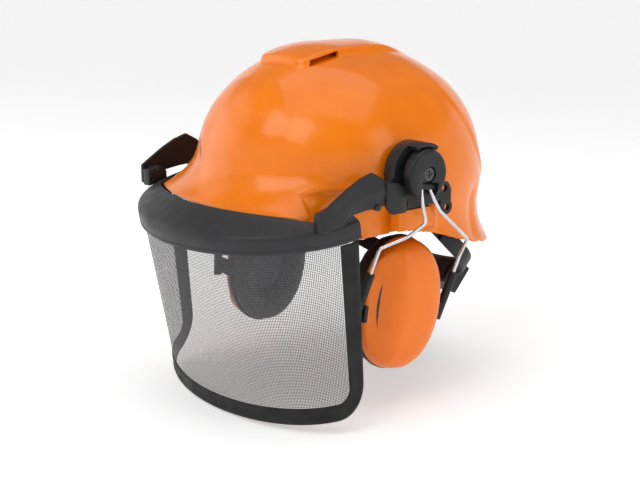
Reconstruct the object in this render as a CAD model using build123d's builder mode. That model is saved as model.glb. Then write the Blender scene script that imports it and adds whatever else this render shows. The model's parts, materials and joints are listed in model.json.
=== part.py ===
"""Forestry helmet: shell and harness, mesh visor on a brow guard, two ear defenders.

Frame: +Z up, +X to the wearer's left, -Y to the front. The origin is the centre of
the head opening, level with the lower edge of the dome. Millimetres throughout.
"""
import os
from math import cos, pi, radians, sin, sqrt

from build123d import *

# ---------------------------------------------------------------- driving dimensions

# Helmet shell: a dome of revolution split at the middle and stretched front to back
DOME_HALF_WIDTH = 103.0
DOME_STRETCH = 21.0
CROWN_HEIGHT = 125.0
CROWN_ARC_RADIUS = 112.0
CROWN_ARC_SPAN = 50.0
SIDE_FOOT = 11.0
SKIRT_FLARE = 16.0
SKIRT_DEPTH = 44.0
SHELL_WALL = 2.6
PEAK_ARC_CENTRE = 28.0
PEAK_ARC_RADIUS = 168.0
PEAK_EDGE_Z = 15.0
CREST_HALF_WIDTH = 30.0
CREST_FRONT = -60.0
CREST_REAR = 68.0
CREST_RISE = 5.0
CREST_END_Z = 120.0
VENT_LENGTH = 30.0
VENT_HEIGHT = 4.6

# Head harness
HEAD_HALF_WIDTH = 78.0
HEAD_HALF_LENGTH = 97.0
BAND_THICKNESS = 2.0
BAND_BOTTOM = -11.0
BAND_TOP = 17.0
BAND_REAR_END = 40.0
SWEATBAND_THICKNESS = 4.0
STRAP_WIDTH = 18.0
STRAP_THICKNESS = 1.2
STRAP_TOP = 86.0
STRAP_FOOT = 6.0
STRAP_STANDOFF = 3.0

# Nape adjuster, laid out along a line that runs down and back from the headband
NAPE_START_Y = 20.0
NAPE_ANGLE = 42.5
TAIL_LENGTH = 50.0
TAIL_WIDTH = 12.0
NAPE_BAND_START = 34.0
NAPE_CURVE_START = 62.0
NAPE_CURVE_DEPTH = 50.0
NAPE_BAND_WIDTH = 14.0
KNOB_RADIUS = 15.0
KNOB_LENGTH = 11.0
PINION_TEETH = 8
PINION_PITCH_RADIUS = 6.0
TOOTH_HEIGHT = 1.2
RUNNING_GAP = 0.05

# Ear defender mounting, on both sides of the shell
TURRET_Y = -23.0
TURRET_Z = 41.0
EAR_LEAN = 9.0
ADAPTER_IN = 113.4
ADAPTER_OUT = 117.0
DRUM_IN = 106.0
DRUM_RADIUS = 23.0
TURRET_IN = 122.0
TURRET_OUT = 131.0
TURRET_RADIUS = 18.6
NECK_RADIUS = 12.0
HUB_RADIUS = 6.0
TAB_HOLE_RADIUS = 2.8
SOCKET_Y = -18.0
SOCKET_WIDTH = 36.0
TONGUE_WIDTH = 28.0
TONGUE_X = 109.4
TONGUE_THICKNESS = 3.4

# Wire yoke and its sleeves, in the ear defender's own leaning plane
WIRE_RADIUS = 1.4
YOKE_X = 126.0
YOKE_BACK = 2.0
YOKE_DROP = 9.0
WIRE_SPLIT = 4.5
BARREL_RADIUS = 2.8
BARREL_LENGTH = 16.0
SLEEVE_RADIUS = 3.4
SLEEVE_ABOVE_PIN = 33.0
SLEEVE_BELOW_PIN = 8.0
SLEEVE_LEAN_IN = 9.5
SLEEVE_LEAN_FORWARD = 2.5
SLEEVE_RUN = 40.0
SLEEVE_SPACING = 91.0
PIN_X = 91.0
PIN_DROP = 113.0
PIN_RADIUS = 2.0

# Ear cup
CUP_BACK = 27.5
CUP_DROP = 107.0
CUP_HALF_WIDTH = 38.0
CUP_HALF_HEIGHT = 53.0
CUP_RIM_X = 84.0
CUP_OUT_X = 106.0
CUP_WALL = 2.4
PLATE_IN_X = 80.5
CUSHION_IN_X = 67.0
EAR_HOLE_HALF_WIDTH = 20.0
EAR_HOLE_HALF_HEIGHT = 31.0

# Visor
GUARD_TILT = 9.0
GUARD_REAR_Y = -80.0
GUARD_REAR_Z = 12.0
GUARD_HALF_WIDTH = 118.0
GUARD_REACH = 88.0
GUARD_LIP = 25.0
GUARD_RISE = 11.0
GUARD_BAND = 13.0
GUARD_WALL = 2.4
RAIL_THICKNESS = 2.0
MESH_THICKNESS = 0.8
BINDING_THICKNESS = 2.8
BINDING_WIDTH = 13.0
RIM_HALF_WIDTH = 116.0
RIM_REACH = 64.0
RIM_CENTRE_Y = -70.0
RIM_CENTRE_Z = -137.0
HINGE_Y = -47.0
HINGE_Z = 30.0
HINGE_PIN_RADIUS = 3.0
ARM_IN = 117.6
ARM_OUT = 121.0
FLAP_OUT = 124.5

os.makedirs("parts", exist_ok=True)


def finish(builder, name):
    """Label a finished piece and write it as one STEP file."""
    builder.part.label = name
    export_step(builder.part, f"parts/{name}.step")


def finish_pair(builder, name):
    """Write a left-hand piece and its mirror image on the wearer's right."""
    finish(builder, name + "_left")
    with BuildPart() as twin:
        mirror(builder.part, about=Plane.YZ)
    finish(twin, name + "_right")


def side_plane(x):
    """The plane square to X at x, with sketch axes along Y and Z."""
    return Plane.YZ.offset(x)


# ------------------------------------------------------------------------------ shell

CROWN_ARC_CENTRE_Z = CROWN_HEIGHT - CROWN_ARC_RADIUS


def wall_section():
    """The dome's wall in section, from the crown down to the flared skirt's edge."""
    crown_centre = (0, CROWN_ARC_CENTRE_Z)
    inner_radius = CROWN_ARC_RADIUS - SHELL_WALL
    edge_x = DOME_HALF_WIDTH + SKIRT_FLARE
    with BuildSketch() as section:
        with BuildLine():
            crown = CenterArc(crown_centre, CROWN_ARC_RADIUS, 90, -CROWN_ARC_SPAN)
            flank = TangentArc(crown @ 1, (DOME_HALF_WIDTH, SIDE_FOOT), tangent=crown % 1)
            skirt = TangentArc(flank @ 1, (edge_x, -SKIRT_DEPTH), tangent=flank % 1)
            crown_in = CenterArc(crown_centre, inner_radius, 90, -CROWN_ARC_SPAN)
            flank_in = TangentArc(crown_in @ 1, (DOME_HALF_WIDTH - SHELL_WALL, SIDE_FOOT), tangent=crown_in % 1)
            skirt_in = TangentArc(flank_in @ 1, (edge_x - SHELL_WALL, -SKIRT_DEPTH - 1), tangent=flank_in % 1)
            Line(crown @ 0, crown_in @ 0)
            Line(skirt @ 1, skirt_in @ 1)
        make_face()
    return section.sketch


with BuildPart() as below_rim:
    # everything under the rim: high over the peak and the ears, low at the back
    with BuildSketch(side_plane(-180)):
        with BuildLine():
            edge = Spline((-190, 20), (-139, 9.5), (-112, 4), (-90, -5), (-70, -9.6), (-48, -7.4), (-28, -5.6),
                          (-8, -7.6), (16, -13.8), (40, -21.5), (85, -33), (140, -41.5), (190, -45))
            Polyline(edge @ 1, (190, -90), (-190, -90), (-190, 20))
        make_face()
    extrude(amount=360)

with BuildPart() as peak:
    # a conical lip about an axis behind the dome's centre, cut to the front sector
    with BuildSketch(Plane.XZ.offset(-PEAK_ARC_CENTRE)):
        with BuildLine():
            Polyline((128, PEAK_EDGE_Z + 19), (146, PEAK_EDGE_Z + 12), (PEAK_ARC_RADIUS, PEAK_EDGE_Z),
                     (PEAK_ARC_RADIUS, PEAK_EDGE_Z - SHELL_WALL), (146, PEAK_EDGE_Z + 12 - SHELL_WALL),
                     (128, PEAK_EDGE_Z + 19 - SHELL_WALL), close=True)
        make_face()
    revolve(axis=Axis((0, PEAK_ARC_CENTRE, 0), (0, 0, 1)))
    with BuildSketch(Plane.XY.offset(-20)):
        with BuildLine():
            Polyline((90, -160), (-90, -160), (-105, -78), (105, -78), close=True)
        make_face()
    extrude(amount=80, mode=Mode.INTERSECT)
    with BuildSketch(Plane.XY.offset(-20)):
        SlotOverall(2 * (DOME_HALF_WIDTH + DOME_STRETCH - 1), 2 * (DOME_HALF_WIDTH - 1), rotation=90)
    extrude(amount=80, mode=Mode.SUBTRACT)

with BuildPart() as crest:
    # a raised hood along the crown, open underneath
    for inset in (0, SHELL_WALL):
        with BuildSketch(side_plane(-CREST_HALF_WIDTH + inset)):
            with BuildLine():
                top = ThreePointArc(
                    (CREST_FRONT + inset, CREST_END_Z - inset),
                    ((CREST_FRONT + CREST_REAR) / 2, CROWN_HEIGHT + CREST_RISE - inset),
                    (CREST_REAR - inset, CREST_END_Z - inset),
                )
                Polyline(top @ 1, (CREST_REAR - inset, 90 - inset), (CREST_FRONT + inset, 90 - inset), top @ 0)
            make_face()
        extrude(amount=2 * (CREST_HALF_WIDTH - inset), mode=Mode.SUBTRACT if inset else Mode.ADD)
    # its walls end just inside the dome's own wall
    with Locations((0, DOME_STRETCH, CROWN_ARC_CENTRE_Z), (0, -DOME_STRETCH, CROWN_ARC_CENTRE_Z)):
        Sphere(CROWN_ARC_RADIUS - SHELL_WALL - 0.2, mode=Mode.SUBTRACT)
    with Locations(Location((0, 0, CROWN_ARC_CENTRE_Z), (90, 0, 0))):
        Cylinder(CROWN_ARC_RADIUS - SHELL_WALL - 0.2, 2 * DOME_STRETCH, mode=Mode.SUBTRACT)

dome_wall = wall_section()

with BuildPart() as shell:
    with BuildSketch(Plane.XZ.offset(DOME_STRETCH)):
        add(dome_wall)
    revolve(axis=Axis((0, -DOME_STRETCH, 0), (0, 0, -1)), revolution_arc=180)
    with BuildSketch(Plane.XZ.offset(-DOME_STRETCH)):
        add(dome_wall)
    revolve(axis=Axis((0, DOME_STRETCH, 0), (0, 0, 1)), revolution_arc=180)
    with BuildSketch(Plane.XZ.offset(-DOME_STRETCH)):
        add(dome_wall)
        mirror(about=Plane.YZ)
    extrude(amount=2 * DOME_STRETCH)
    add(peak.part)
    add(below_rim.part, mode=Mode.SUBTRACT)
    # the dome is open under the hood, so that air reaches the vents
    with BuildSketch(Plane.XY.offset(90)):
        Rectangle(36, 76)
    extrude(amount=60, mode=Mode.SUBTRACT)
    add(crest.part)
    for side in (1, -1):
        with BuildSketch(side_plane(side * 24)):
            with Locations((-34, CROWN_HEIGHT - 5)):
                SlotOverall(VENT_LENGTH, VENT_HEIGHT, rotation=7)
        extrude(amount=side * 12, mode=Mode.SUBTRACT)
        # raised sockets on the skirt take the tongues of the ear adapters
        with BuildSketch(Plane.XY.offset(-4)):
            with Locations((side * 108, SOCKET_Y)):
                Rectangle(9.6, SOCKET_WIDTH)
        extrude(amount=16)
        with BuildSketch(Plane.XY.offset(-30)):
            with Locations((side * TONGUE_X, SOCKET_Y)):
                Rectangle(TONGUE_THICKNESS + 0.4, TONGUE_WIDTH + 0.4)
        extrude(amount=60, mode=Mode.SUBTRACT)
finish(shell, "shell")

# ---------------------------------------------------------------------------- harness

NAPE_ALONG = Vector(0, cos(radians(NAPE_ANGLE)), -sin(radians(NAPE_ANGLE)))
NAPE_UP = Vector(0, sin(radians(NAPE_ANGLE)), cos(radians(NAPE_ANGLE)))
NAPE_PLANE = Plane(origin=(0, NAPE_START_Y, 0), x_dir=(1, 0, 0), z_dir=NAPE_UP)
TAIL_OUT = HEAD_HALF_WIDTH + 0.4
NAPE_IN = TAIL_OUT + 0.3
NAPE_OUT = NAPE_IN + BAND_THICKNESS

with BuildPart() as headband:
    with BuildSketch(Plane.XY.offset(BAND_BOTTOM)):
        Ellipse(HEAD_HALF_WIDTH + BAND_THICKNESS, HEAD_HALF_LENGTH + BAND_THICKNESS)
        Ellipse(HEAD_HALF_WIDTH, HEAD_HALF_LENGTH, mode=Mode.SUBTRACT)
        with Locations((0, BAND_REAR_END + 100)):
            Rectangle(300, 200, mode=Mode.SUBTRACT)
    extrude(amount=BAND_TOP - BAND_BOTTOM)
    # two straight tails carry the sliding nape band
    with BuildSketch(NAPE_PLANE.offset(-TAIL_WIDTH / 2)):
        for side in (1, -1):
            with Locations((side * (TAIL_OUT - BAND_THICKNESS / 2), TAIL_LENGTH / 2 - 3)):
                Rectangle(BAND_THICKNESS, TAIL_LENGTH + 6)
    extrude(amount=TAIL_WIDTH)
finish(headband, "headband")

with BuildPart() as sweatband:
    inner = (HEAD_HALF_WIDTH - SWEATBAND_THICKNESS, HEAD_HALF_LENGTH - SWEATBAND_THICKNESS)
    with BuildSketch(Plane.XY.offset(BAND_BOTTOM + 1)):
        Ellipse(HEAD_HALF_WIDTH - 0.2, HEAD_HALF_LENGTH - 0.2)
        Ellipse(*inner, mode=Mode.SUBTRACT)
        with Locations((0, 72)):
            Rectangle(300, 200, mode=Mode.SUBTRACT)
    extrude(amount=BAND_TOP - BAND_BOTTOM - 2)
finish(sweatband, "sweatband")


def crown_strap(angle, lift):
    """A webbing strap that arches over the head from one side of the band to the other."""
    reach = HEAD_HALF_WIDTH * HEAD_HALF_LENGTH / sqrt(
        (HEAD_HALF_LENGTH * cos(radians(angle))) ** 2 + (HEAD_HALF_WIDTH * sin(radians(angle))) ** 2)
    foot = reach + BAND_THICKNESS + STRAP_STANDOFF
    half = STRAP_THICKNESS / 2
    across = Plane.XZ.rotated((0, 0, angle))
    with BuildPart() as strap:
        with BuildSketch(across.offset(-STRAP_WIDTH / 2)):
            with Locations((0, STRAP_FOOT)):
                Ellipse(foot + half, STRAP_TOP + lift - STRAP_FOOT + half)
                Ellipse(foot - half, STRAP_TOP + lift - STRAP_FOOT - half, mode=Mode.SUBTRACT)
            with Locations((0, STRAP_FOOT - 100)):
                Rectangle(400, 200, mode=Mode.SUBTRACT)
        extrude(amount=STRAP_WIDTH)
    return strap


STRAP_ANGLES = {"crown_strap_cross": 0, "crown_strap_diagonal_a": 60, "crown_strap_diagonal_b": -60}
for layer, (strap_name, strap_angle) in enumerate(STRAP_ANGLES.items()):
    finish(crown_strap(strap_angle, layer * (STRAP_THICKNESS + 0.4)), strap_name)

with BuildPart() as crown_pad:
    with Locations((0, 0, STRAP_TOP + 3 * STRAP_THICKNESS + 1.8)):
        Cylinder(9, 1.6)
finish(crown_pad, "crown_pad")

with BuildPart() as harness_lugs:
    # six keys on the band, one behind each strap end, that plug into the dome
    for angle in (0, 60, 120, 180, 240, 300):
        reach = HEAD_HALF_WIDTH * HEAD_HALF_LENGTH / sqrt(
            (HEAD_HALF_LENGTH * cos(radians(angle))) ** 2 + (HEAD_HALF_WIDTH * sin(radians(angle))) ** 2)
        start = reach + BAND_THICKNESS + STRAP_STANDOFF + STRAP_THICKNESS + 0.5
        with Locations(Location((0, 0, 10), (0, 0, angle))):
            with Locations((start + 15, 0, 0)):
                Box(30, 13, 9)
    with BuildSketch(Plane.XY):
        SlotOverall(2 * (DOME_HALF_WIDTH + DOME_STRETCH - SHELL_WALL - 1.5),
                    2 * (DOME_HALF_WIDTH - SHELL_WALL - 1.5), rotation=90)
    extrude(amount=20, mode=Mode.INTERSECT)
finish(harness_lugs, "harness_lugs")

# ----------------------------------------------------------------------- nape adjuster

NAPE_BACK = NAPE_CURVE_START + NAPE_CURVE_DEPTH + BAND_THICKNESS
HOUSING_HALF_WIDTH = 40.0
HOUSING_HALF_HEIGHT = 13.0
HOUSING_WALL = 2.4
HOUSING_END = NAPE_BACK + 9.0
COVER_THICKNESS = 2.0
RACK_START = NAPE_BACK + 2.0
RACK_THICKNESS = 5.0
RACK_REACH = 25.0
RACK_OVERLAP = 12.0
RACK_BACK = 10.2
SHAFT_RADIUS = 2.5
TOOTH_PITCH = 2 * pi * PINION_PITCH_RADIUS / PINION_TEETH
TOOTH_HALF = TOOTH_PITCH / 4 - 0.25


def nape_face(along):
    """The plane square to the nape line at a distance along it, with sketch axes X and up."""
    return Plane(origin=NAPE_PLANE.from_local_coords((0, along, 0)), x_dir=(-1, 0, 0), z_dir=NAPE_ALONG)


with BuildPart() as nape_band:
    with BuildSketch(NAPE_PLANE.offset(-NAPE_BAND_WIDTH / 2)):
        with Locations((0, NAPE_CURVE_START)):
            Ellipse(NAPE_OUT, NAPE_CURVE_DEPTH + BAND_THICKNESS)
            Ellipse(NAPE_IN, NAPE_CURVE_DEPTH, mode=Mode.SUBTRACT)
        with Locations((0, NAPE_CURVE_START - 100)):
            Rectangle(400, 200, mode=Mode.SUBTRACT)
        for side in (1, -1):
            with Locations((side * (NAPE_IN + NAPE_OUT) / 2, (NAPE_BAND_START + NAPE_CURVE_START) / 2)):
                Rectangle(BAND_THICKNESS, NAPE_CURVE_START - NAPE_BAND_START)
    extrude(amount=NAPE_BAND_WIDTH)
    # housing of the ratchet at the middle of the back
    with BuildSketch(NAPE_PLANE.offset(-HOUSING_HALF_HEIGHT)):
        with Locations((0, HOUSING_END - 10)):
            Rectangle(2 * HOUSING_HALF_WIDTH, 20)
        with Locations((0, NAPE_CURVE_START)):
            Ellipse(NAPE_IN, NAPE_CURVE_DEPTH, mode=Mode.SUBTRACT)
    extrude(amount=2 * HOUSING_HALF_HEIGHT)
    with BuildSketch(nape_face(NAPE_BACK + 1.5)):
        Rectangle(2 * (HOUSING_HALF_WIDTH - HOUSING_WALL), 2 * (HOUSING_HALF_HEIGHT - HOUSING_WALL))
    extrude(amount=20, mode=Mode.SUBTRACT)
finish(nape_band, "nape_band")

with BuildPart() as nape_cover:
    with BuildSketch(nape_face(HOUSING_END)):
        Rectangle(2 * HOUSING_HALF_WIDTH, 2 * HOUSING_HALF_HEIGHT)
        Circle(SHAFT_RADIUS + RUNNING_GAP, mode=Mode.SUBTRACT)
    extrude(amount=COVER_THICKNESS)
finish(nape_cover, "nape_cover")

KNOB_START = HOUSING_END + COVER_THICKNESS + 0.3

with BuildPart() as ratchet_knob:
    with BuildSketch(nape_face(RACK_START)):
        Circle(SHAFT_RADIUS)
    extrude(amount=KNOB_START - RACK_START)
    with BuildSketch(nape_face(KNOB_START)):
        Circle(KNOB_RADIUS)
        with PolarLocations(KNOB_RADIUS + 1.2, 12):
            Circle(2.4, mode=Mode.SUBTRACT)
    extrude(amount=KNOB_LENGTH)
finish(ratchet_knob, "ratchet_knob")

with BuildPart() as ratchet_pinion:
    with BuildSketch(nape_face(RACK_START)):
        Circle(PINION_PITCH_RADIUS - TOOTH_HEIGHT)
        with PolarLocations(0, PINION_TEETH, start_angle=90):
            with BuildLine():
                Polyline((0, 1.4), (PINION_PITCH_RADIUS, TOOTH_HALF), (PINION_PITCH_RADIUS + TOOTH_HEIGHT, 0.5),
                         (PINION_PITCH_RADIUS + TOOTH_HEIGHT, -0.5), (PINION_PITCH_RADIUS, -TOOTH_HALF),
                         (0, -1.4), close=True)
            make_face()
        Circle(SHAFT_RADIUS + 0.02, mode=Mode.SUBTRACT)
    extrude(amount=RACK_THICKNESS)
finish(ratchet_pinion, "ratchet_pinion")


def tail_rack(side):
    """The toothed end of one tail: the left one runs over the pinion, the right one under it."""
    root = PINION_PITCH_RADIUS + TOOTH_HEIGHT + 0.3
    tip = PINION_PITCH_RADIUS - TOOTH_HEIGHT + 0.1
    first = -side * RACK_OVERLAP
    last = side * RACK_REACH
    with BuildPart() as rack:
        with BuildSketch(nape_face(RACK_START)):
            # the sketch's own x axis points to the wearer's right
            with Locations((-(first + last) / 2, side * (root + RACK_BACK) / 2)):
                Rectangle(RACK_REACH + RACK_OVERLAP, RACK_BACK - root)
            for step in range(-2, 5):
                middle = side * (step + 0.5) * TOOTH_PITCH
                with BuildLine():
                    Polyline((-middle - 1.5, side * (root + 0.5)), (-middle - TOOTH_HALF, side * PINION_PITCH_RADIUS),
                             (-middle - 0.5, side * tip), (-middle + 0.5, side * tip),
                             (-middle + TOOTH_HALF, side * PINION_PITCH_RADIUS),
                             (-middle + 1.5, side * (root + 0.5)), close=True)
                make_face()
        extrude(amount=RACK_THICKNESS)
    return rack


finish(tail_rack(1), "tail_rack_left")
finish(tail_rack(-1), "tail_rack_right")

with BuildPart() as nape_pad:
    with BuildSketch(NAPE_PLANE.offset(-12)):
        with Locations((0, NAPE_CURVE_START)):
            Ellipse(NAPE_IN - 0.3, NAPE_CURVE_DEPTH - 0.3)
            Ellipse(NAPE_IN - 5, NAPE_CURVE_DEPTH - 5, mode=Mode.SUBTRACT)
        with Locations((0, NAPE_CURVE_START + 70)):
            Rectangle(2 * 36, 80, mode=Mode.INTERSECT)
    extrude(amount=24)
finish(nape_pad, "nape_pad")

# ------------------------------------------------------------------ ear defender mounts

LEAN = radians(EAR_LEAN)


def ear_point(x, back, up):
    """A point given in the ear defender's leaning plane, measured from its turret."""
    return Vector(x, TURRET_Y + back * cos(LEAN) + up * sin(LEAN), TURRET_Z - back * sin(LEAN) + up * cos(LEAN))


def ear_plane(x):
    """The leaning plane at x, with sketch axes back and up."""
    return Plane(origin=ear_point(x, 0, 0), x_dir=(0, cos(LEAN), -sin(LEAN)), z_dir=(1, 0, 0))


TAB_HOLES = ((7.2, 24.7), (9.9, 9.9))
HUB_END = TURRET_OUT - 2.8

with BuildPart() as ear_adapter:
    with BuildSketch(side_plane(ADAPTER_IN)):
        with Locations((TURRET_Y, TURRET_Z)):
            Circle(DRUM_RADIUS)
        with Locations((SOCKET_Y, 28)):
            Rectangle(TONGUE_WIDTH, 27)
        with Locations((-3, 22)):
            Rectangle(22, 12)
        with BuildLine():
            Polyline((HINGE_Y - 3, HINGE_Z - 7.5), (TURRET_Y, TURRET_Z - 22), (TURRET_Y, TURRET_Z + 6),
                     (HINGE_Y - 3, HINGE_Z + 7.5), close=True)
        make_face()
        with Locations((HINGE_Y, HINGE_Z)):
            Circle(8.0)
        with Locations(TAB_HOLES):
            Circle(5.6)
        with Locations((8.55, 17.3)):
            Rectangle(11, 15)
        with Locations(TAB_HOLES):
            Circle(TAB_HOLE_RADIUS, mode=Mode.SUBTRACT)
        with Locations((HINGE_Y, HINGE_Z)):
            Circle(HINGE_PIN_RADIUS + RUNNING_GAP, mode=Mode.SUBTRACT)
    extrude(amount=ADAPTER_OUT - ADAPTER_IN)
    with BuildSketch(side_plane(DRUM_IN)):
        with Locations((TURRET_Y, TURRET_Z)):
            Circle(DRUM_RADIUS)
            Circle(DRUM_RADIUS - 2.5, mode=Mode.SUBTRACT)
            Circle(HUB_RADIUS + 2)
    extrude(amount=ADAPTER_IN - DRUM_IN)
    with BuildSketch(side_plane(ADAPTER_OUT)):
        with Locations((TURRET_Y, TURRET_Z)):
            Circle(HUB_RADIUS)
    extrude(amount=HUB_END - ADAPTER_OUT)
    # a crescent hood over the top of the turret
    with BuildSketch(side_plane(ADAPTER_OUT)):
        with BuildLine():
            outer = CenterArc((TURRET_Y, TURRET_Z), DRUM_RADIUS, 55, 60)
            inner = CenterArc((TURRET_Y, TURRET_Z), TURRET_RADIUS + 1.4, 55, 60)
            Line(outer @ 0, inner @ 0)
            Line(outer @ 1, inner @ 1)
        make_face()
    extrude(amount=9)
    # the tongue that drops into the shell's socket
    with Locations(((TONGUE_X - TONGUE_THICKNESS / 2 + ADAPTER_OUT) / 2, SOCKET_Y, 16.3)):
        Box(ADAPTER_OUT - TONGUE_X + TONGUE_THICKNESS / 2, TONGUE_WIDTH, 3.6)
    with Locations((TONGUE_X, SOCKET_Y, 5.5)):
        Box(TONGUE_THICKNESS, TONGUE_WIDTH, 19)
    with BuildSketch(side_plane(DRUM_IN - 1)):
        with Locations((TURRET_Y, TURRET_Z)):
            Circle(2.1)
    extrude(amount=40, mode=Mode.SUBTRACT)
finish_pair(ear_adapter, "ear_adapter")

with BuildPart() as turret_screw:
    with BuildSketch(side_plane(DRUM_IN + 2)):
        with Locations((TURRET_Y, TURRET_Z)):
            Circle(2.05)
    extrude(amount=HUB_END - DRUM_IN - 2)
    with BuildSketch(side_plane(HUB_END)):
        with Locations((TURRET_Y, TURRET_Z)):
            Circle(5.0)
    extrude(amount=1.8)
    with BuildSketch(side_plane(HUB_END + 0.8)):
        with Locations((TURRET_Y, TURRET_Z)):
            Rectangle(5.6, 1.1)
            Rectangle(1.1, 5.6)
    extrude(amount=2, mode=Mode.SUBTRACT)
finish_pair(turret_screw, "turret_screw")

with BuildPart() as turret:
    with BuildSketch(ear_plane(ADAPTER_OUT + 0.1)):
        Circle(NECK_RADIUS)
    extrude(amount=TURRET_IN - ADAPTER_OUT)
    with BuildSketch(ear_plane(TURRET_IN)):
        Circle(TURRET_RADIUS)
    extrude(amount=TURRET_OUT - TURRET_IN)
    fillet(edges().group_by(Axis.X)[-1], radius=3.5)
    with BuildSketch(ear_plane(ADAPTER_OUT)):
        Circle(HUB_RADIUS + RUNNING_GAP)
    extrude(amount=30, mode=Mode.SUBTRACT)
    with BuildSketch(ear_plane(HUB_END - 0.1)):
        Circle(5.3)
    extrude(amount=10, mode=Mode.SUBTRACT)
    # pocket for the wire yoke's barrel, open below and outwards
    with BuildSketch(ear_plane(YOKE_X - BARREL_RADIUS - 0.5)):
        with Locations((YOKE_BACK, -YOKE_DROP + BARREL_RADIUS + 0.5 - 10)):
            Rectangle(BARREL_LENGTH + 0.6, 20)
    extrude(amount=20, mode=Mode.SUBTRACT)
    with BuildSketch(Plane(origin=ear_point(YOKE_X, YOKE_BACK, -YOKE_DROP), z_dir=(0, cos(LEAN), -sin(LEAN)))):
        Circle(1.2)
    extrude(amount=BARREL_LENGTH / 2 + 3.2, both=True, mode=Mode.SUBTRACT)
finish_pair(turret, "turret")

YOKE_AXIS = Plane(origin=ear_point(YOKE_X, YOKE_BACK, -YOKE_DROP), x_dir=(1, 0, 0),
                  z_dir=(0, cos(LEAN), -sin(LEAN)))

with BuildPart() as yoke_pin:
    with BuildSketch(YOKE_AXIS):
        Circle(1.18)
    extrude(amount=BARREL_LENGTH / 2 + 3, both=True)
finish_pair(yoke_pin, "yoke_pin")

# --------------------------------------------------------------------- yoke and sleeves

SLEEVE_UP = Vector(SLEEVE_LEAN_IN, SLEEVE_LEAN_FORWARD, SLEEVE_RUN).normalized()


def sleeve_point(end, up):
    """A point on a sleeve's axis: end is -1 in front of the cup and 1 behind it."""
    middle = CUP_BACK + end * SLEEVE_SPACING / 2
    return ear_point(PIN_X + up * SLEEVE_UP.X, middle + up * SLEEVE_UP.Y, -PIN_DROP + up * SLEEVE_UP.Z)


WIRE_END = 8.5
WIRE_BEND = SLEEVE_ABOVE_PIN + 21
FRONT_ROUTE = [
    ear_point(YOKE_X, YOKE_BACK - WIRE_SPLIT, -YOKE_DROP - 1.9),
    ear_point(128.5, -1.5, -22),
    ear_point(130.5, 3, -36),
    ear_point(118, -2, -49),
    sleeve_point(-1, WIRE_BEND),
    sleeve_point(-1, WIRE_END),
]
REAR_ROUTE = [
    ear_point(YOKE_X, YOKE_BACK + WIRE_SPLIT, -YOKE_DROP - 1.9),
    ear_point(128.5, 9.5, -18),
    ear_point(129.5, 17, -27),
    ear_point(113, 70, -51),
    sleeve_point(1, WIRE_BEND - 6),
    sleeve_point(1, WIRE_END),
]


def bent_wire(route, radii):
    """A round wire along straight runs joined by arcs."""
    with BuildPart() as wire:
        with BuildLine() as path:
            FilletPolyline(*route, radius=radii)
        with BuildSketch(Plane(origin=path.line @ 0, z_dir=path.line % 0)):
            Circle(WIRE_RADIUS)
        sweep(path=path.line)
    return wire.part


front_wire = bent_wire(FRONT_ROUTE, [8, 6, 6, 5])
rear_wire = bent_wire(REAR_ROUTE, [6, 6, 6, 4])

with BuildPart() as wire_yoke:
    add([front_wire, rear_wire])
finish_pair(wire_yoke, "wire_yoke")

with BuildPart() as yoke_barrel:
    with BuildSketch(YOKE_AXIS):
        Circle(BARREL_RADIUS)
        Circle(1.18 + RUNNING_GAP, mode=Mode.SUBTRACT)
    extrude(amount=BARREL_LENGTH / 2, both=True)
    add(wire_yoke.part, mode=Mode.SUBTRACT)
finish_pair(yoke_barrel, "yoke_barrel")


def ear_sleeve(end):
    """A plastic sleeve that grips one wire end, with the stub that the cup pivots on."""
    top = sleeve_point(end, SLEEVE_ABOVE_PIN)
    axis = Vector(*(sleeve_point(end, 1) - sleeve_point(end, 0)))
    with BuildPart() as sleeve:
        with BuildSketch(Plane(origin=sleeve_point(end, -SLEEVE_BELOW_PIN), z_dir=axis)):
            Circle(SLEEVE_RADIUS)
        extrude(amount=SLEEVE_BELOW_PIN + SLEEVE_ABOVE_PIN)
        with BuildSketch(Plane(origin=top, z_dir=-axis)):
            Circle(WIRE_RADIUS + RUNNING_GAP)
        extrude(amount=SLEEVE_ABOVE_PIN - 2.5, mode=Mode.SUBTRACT)
        toward_cup = Vector(0, -end * cos(LEAN), end * sin(LEAN))
        with BuildSketch(Plane(origin=sleeve_point(end, 0), z_dir=toward_cup)):
            Circle(PIN_RADIUS)
        extrude(amount=SLEEVE_SPACING / 2 - CUP_HALF_WIDTH - 0.3)
    return sleeve


finish_pair(ear_sleeve(-1), "sleeve_front")
finish_pair(ear_sleeve(1), "sleeve_rear")

# --------------------------------------------------------------------------- ear cups

CUP_CENTRE = (CUP_BACK, -CUP_DROP)
CUP_ROUNDING = 9.0

with BuildPart() as cup_shell:
    with BuildSketch(ear_plane(CUP_RIM_X)):
        with Locations(CUP_CENTRE):
            Ellipse(CUP_HALF_WIDTH, CUP_HALF_HEIGHT)
            Ellipse(CUP_HALF_WIDTH - CUP_WALL, CUP_HALF_HEIGHT - CUP_WALL, mode=Mode.SUBTRACT)
    extrude(amount=12)
    with BuildSketch(ear_plane(CUP_RIM_X + 12)):
        with Locations(CUP_CENTRE):
            Ellipse(CUP_HALF_WIDTH, CUP_HALF_HEIGHT)
    extrude(amount=CUP_OUT_X - CUP_RIM_X - 12)
    fillet(edges().group_by(Axis.X)[-1], radius=CUP_ROUNDING)
    with BuildSketch(ear_plane(CUP_RIM_X)):
        with Locations(CUP_CENTRE):
            Ellipse(CUP_HALF_WIDTH - CUP_ROUNDING, CUP_HALF_HEIGHT - CUP_ROUNDING)
    extrude(amount=CUP_OUT_X - CUP_RIM_X - CUP_WALL, mode=Mode.SUBTRACT)
finish_pair(cup_shell, "cup_shell")

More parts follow.
